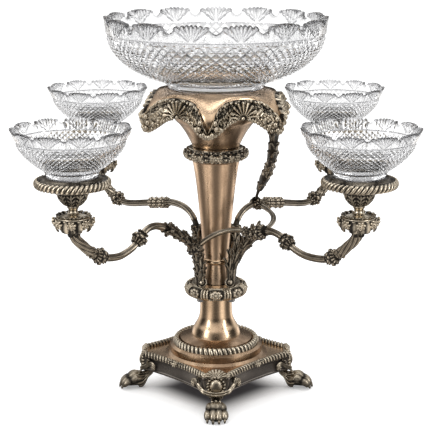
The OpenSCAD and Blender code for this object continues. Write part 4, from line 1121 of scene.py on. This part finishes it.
def knuckle(path, place, size, ringed=False):
    """A knot of beads and leaf tips round a tube, or a longer one of three lobed rings."""
    if ringed:
        band = turned(RINGS * [size, 1.5 * size], 108, 0.5, 1.3, gadroons(9, 0))
    else:
        beads = repeated(KNUCKLE * [size, size, size, 1], 6, 7.4 * size)
        band = turned(KNOT * size, 128, 0.5, 1.7, beads)
    k = int(round(place * STEPS))
    return aimed(band, path[k], path[k + 1] - path[k - 1])


print("leaf whorls and knuckles ready")

# %% Four branches
# Where a route's sheath ends, its fluted end begins and its trimmings sit, counted in points of the
# route; leaf is the length, half width, bend and hook of the leaves on its stalk.
SHORT_LEAF, LONG_LEAF, LEAF_STEP = (14.0, 3.5, 9, 45), (25.0, 2.7, 7, 35), 7.0
BACK_DRESS = dict(sheath=3.6, fluted=11.5, leaf=SHORT_LEAF, tips=(2.7,), knuckles=(11,), ringed=(7.1,))
DRESS = {
    "front_left": dict(sheath=5.4, fluted=14.6, leaf=SHORT_LEAF, tips=(4.5,), knuckles=(2.4, 9, 14),
                       ringed=()),
    "front_right": dict(sheath=6.4, fluted=13.5, leaf=LONG_LEAF, tips=(), knuckles=(5.35, 9, 13),
                        ringed=()),
    "back_right": BACK_DRESS,
    "back_left": BACK_DRESS,
}
BOSS = [(5.0, -1.2), (6.0, 0), (5.4, 1.0), (4.4, 1.4), (3.5, 0.2), (3.2, 0.8), (2.4, 2.2), (0.01, 2.6)]


def waist(angle, place, length):
    """Relief of a boss that is dark round its middle."""
    return np.where(np.abs(place - 0.5 * length) < 1.3, 0.25, 1.0)


def branch(corner):
    """A whole branch: leafy stalk, sheath, tube, knuckles and fluted end."""
    path, radius, across = branch_path(corner)
    dress = DRESS[corner]
    place = np.arange(len(path)) / STEPS
    angle = 2 * math.pi * np.arange(48) / 48
    leafy, fluted = (place < dress["sheath"])[:, None], (place > dress["fluted"])[:, None]
    travel = np.concatenate([[0], np.cumsum(np.linalg.norm(np.diff(path, axis=0), axis=1))])
    lobe = (angle[None, :] * 7 / (2 * math.pi) + travel[:, None] / 15) % 1 - 0.5
    flutes = 1 - np.abs(2 * lobe) ** 2.2
    # Grooves along the plain tube, darkened also as painted reflection: dark streaks down its sides.
    reeds_and_painted_edges = 1 - 0.7 * np.sin(2 * angle[None, :]) ** 2
    # Painted shade: under the leaves the stalk's core is made dark.
    height = np.where(leafy, 0.2, np.where(fluted, flutes, reeds_and_painted_edges))
    cut = np.where(leafy, 1.6, np.where(fluted, 1.8, 1.0))
    parts = [swept(path, radius, None, across, 48, cut, height)]
    last = np.interp(dress["sheath"], place, travel) - 1.2 * dress["leaf"][0]
    for n, at in enumerate(np.arange(1.0, last, LEAF_STEP)):
        spot = np.interp(at, travel, place)
        parts += tube_leaves(path, radius, across, spot, 4, 45 * (n % 2) + 11 * n, *dress["leaf"], 1.5)
    for at in dress["tips"]:
        parts += tube_leaves(path, radius, across, at, 4, 0, 12.0, 3.6, 14, 150, 1.5)
    parts += tube_leaves(path, radius, across, dress["fluted"] - 0.1, 5, 0, 9.0, 3.0, 12, 80, 1.5)
    parts += [knuckle(path, at, 1.15) for at in dress["knuckles"]]
    parts += [knuckle(path, at, 1.0, True) for at in dress["ringed"]]
    boss = turned(BOSS, 48, 0.4, 0.8, waist)
    right, back = np.sign(path[-1, :2])
    parts.append(aimed(boss, (15.2 * right, 20.5 * back, ROOT_Z + 4.5), (0.25 * right, back, 0.35)))
    node_name = "branch_" + corner
    return make_piece(node_name + "_cast", parts, BRANCH, "stand", [node_name])


for corner in BRANCHES:
    branch(corner)
print("branches dressed")

# %% [markdown]
# ## Dish holders
# Each branch ends in a leaf socket. A pan with flowers and hanging leaves plugs into it, and on the
# pan a neck carries an acanthus cup and a dish with a gadrooned rim, on which the bowl stands.

# %% Rings of leaves
def ring_of_leaves(count, r, z, rise, length, wide, bend, hook, turn, tone=0.05):
    """Leaves set round the axis at a radius and height."""
    parts = []
    for angle in np.radians(turn + 360 * np.arange(count) / count):
        out = np.array([math.cos(angle), math.sin(angle), 0])
        root = r * out + (0, 0, z)
        parts.append(leaf(root, out, (0, 0, rise), length, wide, bend, hook, tone))
    return parts


def raised(points, steps, z):
    """A smooth outline lifted to a height."""
    return smooth(points, steps) + np.array([0, z])


def plain(height):
    """A pattern of one height all over, for a band that is dull but has no ornament."""
    return lambda angle, place, length: height + 0 * angle


print("holder helpers ready")

# %% Sockets, pans, cups and dishes
PAN_RIM = np.concatenate([mirrored_motif(line([(5.2, 4), (6.6, 16)], 1.5, 1.9)),
                          [[0, 5.0, 1.8, 0.9], [0, 16, 1.8, 0.9]]])
CUP_SIDE = np.concatenate([line([(0, 4), (2.6, 8)], 0.8, 1.3), line([(0, 9), (3.0, 13)], 0.8, 1.5),
                           line([(0, 14), (3.0, 18)], 0.8, 1.5)])
CUP_LEAF = np.concatenate([line([(0, 1), (0, 19)], 0.8, 1.2), mirrored_motif(CUP_SIDE)])


def holder(corner, x, y):
    """Socket, pan, cup and dish at the end of one branch."""
    centre = (x * REACH, y * REACH, 0)
    socket_z, dish_z = [node_box(name + corner)[0][2] for name in ("socket_", "dish_")]
    pan_z, cup_z = socket_z + 10, socket_z + 21

    throat = raised([(3, 0), (5.5, 0), (7.0, 3), (8.4, 7), (10.6, 9.2), (9.6, 9.9)], 5, socket_z)
    throat = turned(throat, 96, 0.6, 1.0, gadroons(12, 0))
    curls = ring_of_leaves(5, 5.5, socket_z - 3.0, 1, 15.0, 3.8, 50, 190, 18, 0.45)
    make_piece(f"socket_{corner}_leaves", [moved(part, centre) for part in [throat, *curls]],
               CAST, "stand", ["socket_" + corner])

    bowl = raised([(11, 0.3), (14, -1.0), (17.2, -1.8), (19.3, 1.5), (19.2, 6.5),
                   (15.5, 8.8), (11, 9.8), (6.8, 11), (5.5, 11)], 5, pan_z)
    parts = [turned(bowl, 288, 0.5, 2.0, repeated(PAN_RIM, 8, 18.5, 2, 18))]
    parts += ring_of_leaves(8, 17.4, pan_z + 7.0, -1, 12.5, 5.6, 8, -55, 22.5)
    parts += ring_of_leaves(16, 14.4, pan_z + 8.6, 0.35, 5.0, 3.2, 75, 60, 0)
    for angle in np.radians(45 * np.arange(8)):
        out = np.array([math.cos(angle), math.sin(angle), 0])
        parts.append(aimed(flower(5.2, 7), 18.4 * out + (0, 0, pan_z + 3.0), out - (0, 0, 0.25)))
    make_piece(f"pan_{corner}_flowers", [moved(part, centre) for part in parts],
               CAST, "pan_" + corner, ["pan_" + corner])

    neck = turned(raised([(6.6, 0), (5.8, 0.5), (4.6, 2.6), (4.9, 5.0), (6.2, 6.8)], 6, cup_z), 64, 0.6)
    cup = turned(raised([(6.0, 6.6), (10.3, 9.0), (14.8, 14.3), (17, 20.0), (17, 22)], 6, cup_z),
                 240, 0.5, 2.5, repeated(CUP_LEAF * [1, 1, 0.76, 0.68], 10, 13))
    under = turned(raised([(15, 0), (18, 0.2), (25, 1.8), (32.6, 4.9)], 6, dish_z),
                   128, 1.0, 1.0, plain(0.55))
    bulge = np.radians(np.linspace(-85, 85, 25))
    bulge = np.column_stack([34.5 + 4 * np.cos(bulge), 9.28 + 4.48 * np.sin(bulge) + dish_z])
    rim = turned(bulge, 832, 0.5, 1.6, gadroons(44, -1.3))
    cove = raised([(34.2, 13.5), (32.0, 12.9), (30.2, 13.6),
                   (28.9, 15.2), (28.4, 16), (15, 16)], 5, dish_z)
    cove = turned(cove, 128, 1.0, 1.0, plain(0.45))
    make_piece(f"dish_{corner}_turned", [moved(part, centre) for part in (neck, cup, under, rim, cove)],
               CAST, "dish_" + corner, ["dish_" + corner, "dish_stem_" + corner])


for corner, (x, y) in CORNERS.items():
    holder(corner, x, y)
print("holders dressed:", len(CORNERS))

# %% [markdown]
# ## Ties and stay
# Two scroll ties join neighbouring branches and a leafy stay hangs from the canopy's right corner
# to the rear branch. Sleeves of leaves and beads hide the joints.

# %% Ties
TIE_POINTS = 48


def bowed(start, end, bow):
    """A path between two points that bows along a direction."""
    share = np.linspace(0, 1, TIE_POINTS)[:, None]
    return start + (end - start) * share + np.array(bow, float) * 4 * share * (1 - share)


reeded = np.tile(1 - 0.6 * np.sin(math.pi * np.arange(24) / 6) ** 2, (TIE_POINTS, 1))
path = bowed(on_branch("front_left", 7 / 3), on_branch("front_right", 13 / 3), (0, -7, 14))
parts = [swept(path, 3.0, None, (0, 1, 0), 24, 0.8, reeded), knuckle(path, 44 / STEPS, 0.95),
         knuckle(path, 39 / STEPS, 0.7), knuckle(path, 3 / STEPS, 0.75)]
make_piece("front_tie_scroll", parts, BRANCH, "stand", ["front_tie"])

path = bowed(on_branch("front_right", 16 / 3), on_branch("back_right", 17 / 3), (17, 0, 0))
parts = [swept(path, 3.0, None, (0, 0, 1), 24, 0.8, reeded), knuckle(path, 2 / STEPS, 0.8),
         knuckle(path, 45 / STEPS, 0.85)]
make_piece("side_tie_scroll", parts, BRANCH, "stand", ["side_tie"])
print("ties made")

# %% Stay
def husk(travel, angle, period, leaves):
    """Relief of leaves that overlap like scales along a tube: 0 in the gaps, 1 on the tips."""
    height = np.zeros(np.broadcast(travel, angle).shape)
    for shift in (0.0, 0.5):
        up_leaf = (travel / period + shift) % 1
        off_rib = ((angle * leaves / (2 * math.pi) + shift) % 1 - 0.5) * 2
        half = np.maximum(np.sqrt(1 - up_leaf ** 4), 0.05)
        edge = np.clip(1 - (off_rib / half) ** 2, 0, 1)
        ribs = 0.80 + 0.20 * np.cos(4 * math.pi * off_rib)
        np.maximum(height, (0.35 + 0.65 * up_leaf) * np.sqrt(edge) * ribs, out=height)
    return height


start, end = on_branch("back_right", 17 / 3), canopy_at(5, math.radians(60), -1.25)
route = smooth([(0, 0, 0.6), (0.09, -0.2, 0.6), (0.19, -0.1, 0.65), (0.4, 0.6, 1.3), (0.52, 0.9, 0.9),
                (0.66, 1, 1.2), (0.84, 0.6, 1.2), (1, 0, 1)], STEPS)
path = start + (end - start) * route[:, :1] + np.array([5.0, 0, 0]) * route[:, 1:2]
angle = 2 * math.pi * np.arange(32) / 32
thick = 4.5 * 1.3 * route[:, 2]
scales = 0.4 * husk(100 * route[:, :1], angle[None, :], 16, 4)
parts = [swept(path, thick, None, (0, 1, 0), 32, 2.4, scales)]
for n, at in enumerate(np.arange(2.1, 6.4, 0.7)):
    parts += tube_leaves(path, 0.9 * thick, np.array([0, 1.0, 0]), at, 4, 45 * (n % 2) + 10,
                         14, 3.8, 9, 45, 1.9)
parts += [knuckle(path, 3.95, 0.75), knuckle(path, 0.15, 0.95)]
make_piece("stay_leaves", parts, BRANCH, "stand", ["stay_scroll"])
print("stay made with", len(parts), "parts")

# %% [markdown]
# ## Feet and corner mounts
# Each canted corner carries a round shield with a gadrooned rim, a scroll bracket that hugs the
# plinth, and a shell on the border above. Under it a hairy leg runs out to a lion's paw. The leg is
# a loft of sections, and four toes with folds and short claws are swept over its front. Foot and
# mount are modelled once along +X and turned to the four corners.

# %% Paw feet
# Sections across the foot: distance out, top, underside and half width.
PAW = smooth([(72, 27, 17, 6.8), (75, 22.5, 14, 5.8), (77.7, 19.8, 11.0, 5.4), (81, 18.0, 4.0, 6.2),
              (84, 18.4, 0.5, 8.0), (88, 19.6, 0.3, 10.4), (92.5, 19.8, 0.3, 12.2),
              (97, 17.8, 0.3, 12.7), (101, 14.8, 0.3, 12.4), (104.5, 10.6, 0.3, 10.8),
              (106.6, 7.3, 0.4, 8.4), (107.4, 4.4, 1.0, 5.0)], 5)
ABOUT_Z = {"right": 0, "back": 90, "left": 180, "front": 270}


def spun_round(parts, angle):
    """Parts modelled along +X, turned about the axis by an angle in degrees."""
    cosine, sine = math.cos(math.radians(angle)), math.sin(math.radians(angle))
    spin = np.array([[cosine, sine, 0], [-sine, cosine, 0], [0, 0, 1]])
    return [(part[0] @ spin, part[1], part[2]) for part in parts]


def paw(name, angle):
    """A paw foot that points along an angle in degrees: hairy ankle, four toes and their claws."""
    turn = 2 * math.pi * np.arange(96) / 96
    x, top, under, half = [PAW[:, k:k + 1] for k in range(4)]
    hair = 0.5 + 0.5 * np.cos(14 * turn[None, :] + 0.25 * x)
    split = np.clip((x - 88) / 4, 0, 1)
    cut = 1.2 * (1 - hair) * (1 - split) + 2.6 * split
    wide = (half - cut) * np.cos(turn)
    arc = np.sign(np.sin(turn)) * np.abs(np.sin(turn)) ** 0.8
    rise = 0.5 * (top + under) + (0.5 * (top - under) - cut) * arc
    points = np.stack([x - 3 * split + 0 * wide, wide, np.maximum(rise, 0.3)], -1)
    points = np.concatenate([points, 0 * points[:1] + points[-1].mean(0)])
    hollow = np.clip((0.7 - hair) / 0.5 + split, 0, 1)
    parts = [sheet(points, np.concatenate([hollow, hollow[-1:]]))]
    for side in (-9.0, -3.1, 3.1, 9.0):
        back, low = 0.04 * side ** 2, 0.03 * side ** 2
        toe = smooth([(87.5, 0.42 * side, 14.0 - low), (94, 0.74 * side, 15.8 - low),
                      (100.5, 0.95 * side, 12.8 - low), (105.5, 1.03 * side, 8.0),
                      (108.6, 1.03 * side, 4.4)], 8) - (back, 0, 0)
        share = np.linspace(0, 1, len(toe))
        wide = np.interp(share, [0, 0.3, 0.7, 1], [3.4, 4.6, 4.3, 3.4])
        bulbs = np.abs(np.sin(math.pi * (0.15 + 1.75 * share))) ** 0.5
        ring = 2 * math.pi * np.arange(18) / 18
        folds = np.broadcast_to(bulbs[:, None], (len(toe), 18)) * (0.9 + 0.1 * np.cos(3 * ring))
        parts.append(swept(toe, wide, None, (0, 1, 0), 18, 1.9, folds, 1, 0.12))
        claw = smooth([(106.8, 1.03 * side, 4.8), (109.2, 1.03 * side, 4.4), (110.2, 1.03 * side, 2.8),
                       (110.0, 1.03 * side, 1.5)], 6) - (back, 0, 0)
        wide = np.linspace(1.9, 1.0, len(claw))
        parts.append(swept(claw, wide, None, (0, 1, 0), 12, 0, None, 1, 0.35))
    for side in (-1, 0, 1):
        root = (75, 3.6 * side, 22.5 - abs(side))
        parts.append(leaf(root, (0.3, 0.6 * side, 0.7), (0.9, 0.2 * side, -0.3), 9, 2.4, 4, 90, 0.1))
    return make_piece(name + "_cast", spun_round(parts, angle), FOOT, "stand", [name])


for side, angle in ABOUT_Z.items():
    paw("paw_foot_" + side, angle)
print("paws cast:", len(ABOUT_Z))

# %% Shields, brackets and shells
def beside_plinth(run, off, z):
    """A point beside the plinth, some way along its side from a corner that points along +X."""
    share = run / (math.sqrt(2) * (CORNER_R - HALF_CANT))
    out = off - 4 * INCURVE * share * (1 - share)
    return CORNER_R + (out - run) / math.sqrt(2), HALF_CANT + (out + run) / math.sqrt(2), z


def corner_mount(name, angle):
    """Shield, scroll bracket and shell on the canted corner at an angle in degrees."""
    shield_z = 34.2
    dome = smooth([(7.6, 2.0), (7.0, 3.4), (5.6, 5.0), (3.0, 6.2), (0.01, 6.6)], 3)
    rim = smooth([(11.0, 0.2), (10.8, 2.4), (9.8, 3.7), (8.4, 3.4), (7.4, 1.6)], 3)
    dome, rim = turned(dome, 64, 0.4), turned(rim, 288, 0.3, 1.5, gadroons(16, 0.4))
    parts = [aimed(part, (CORNER_R, 0, shield_z), (1, 0, 0)) for part in (dome, rim)]
    low = shield_z - 9.6
    arm = [(84.0, 0, low), (84.2, 7.8, low + 1.0), (84.0, 13.5, low + 3.4)]
    arm += [beside_plinth(run, 3.0, low + up) for run, up in (
        (5, 7.0), (10, 11.0), (15, 12.0), (18, 9.2), (16.2, 6.4), (13.6, 7.6))]
    path = smooth(arm, 10)
    size = np.interp(np.linspace(0, 1, len(path)), [0, 0.6, 1], [1.5, 1.5, 1.0])
    closing = np.linspace(1, 0.45, len(path))[:, None]
    for mirror in (1, -1):
        for lift in (-1.4, 1.4):
            ridge = path + np.array([0.35 * abs(lift), 0, lift]) * closing
            parts.append(swept(ridge * [1, mirror, 1], size, None, (0, 0, 1), 14))
        eye = np.array(beside_plinth(15.4, 3.4, low + 8.6)) * [1, mirror, 1]
        parts.append(aimed(flower(3.0, 6), eye, (1, mirror, 0.2)))
        root = np.array(beside_plinth(7, 3.2, 34)) * [1, mirror, 1]
        parts.append(leaf(root, (-0.6, 0.6 * mirror, 0.3), (0, 0, 1), 8, 2.8, 45, 120))
    slope, lift = np.array([-0.62, 0, 0.78]), np.array([0.78, 0, 0.62])
    for spread in np.linspace(-78, 78, 9):
        tilt = math.radians(spread)
        out = math.cos(tilt) * slope + math.sin(tilt) * np.array([0, 1.25, 0])
        share = np.linspace(0.12, 1, 12)[:, None]
        flute = np.array([83.0, 0, 42.6]) + 9.4 * share * out + 1.7 * np.sin(2.2 * share) * lift
        parts.append(swept(flute, np.linspace(0.7, 1.75, 12), None, (0, 1, 0.3), 12))
    for mirror in (1, -1):
        parts.append(aimed(flower(2.9, 6), (81.6, 12.6 * mirror, 45.2), (1, 0.3 * mirror, 0.8)))
    return make_piece(name + "_cast", spun_round(parts, angle), FOOT, "stand", [name])


for side, angle in ABOUT_Z.items():
    corner_mount("corner_scroll_" + side, angle)
print("corner mounts cast:", len(ABOUT_Z))

# %% [markdown]
# ## What stays as the CAD model has it
# The dome, the bowl's seat and all that is hidden, such as the tie rod and the nuts, need no
# ornament. Their CAD meshes stay and take the finish of their material slot; the dome takes its own.

# %% Plain CAD nodes in their finishes
FINISHES = {"column_silver": COLUMN, "branch_silver": BRANCH, "cast_silver": CAST, "cut_glass": GLASS,
            "steel": STEEL}
slots = {part["node"]: part["material_slot"] for part in frame["record"]["subparts"]}
for name, shown in frame["nodes"].items():
    shown.data.materials.clear()
    shown.data.materials.append(DOME if name == "base_dome" else FINISHES[slots[name]])
print("CAD nodes finished:", len(slots))
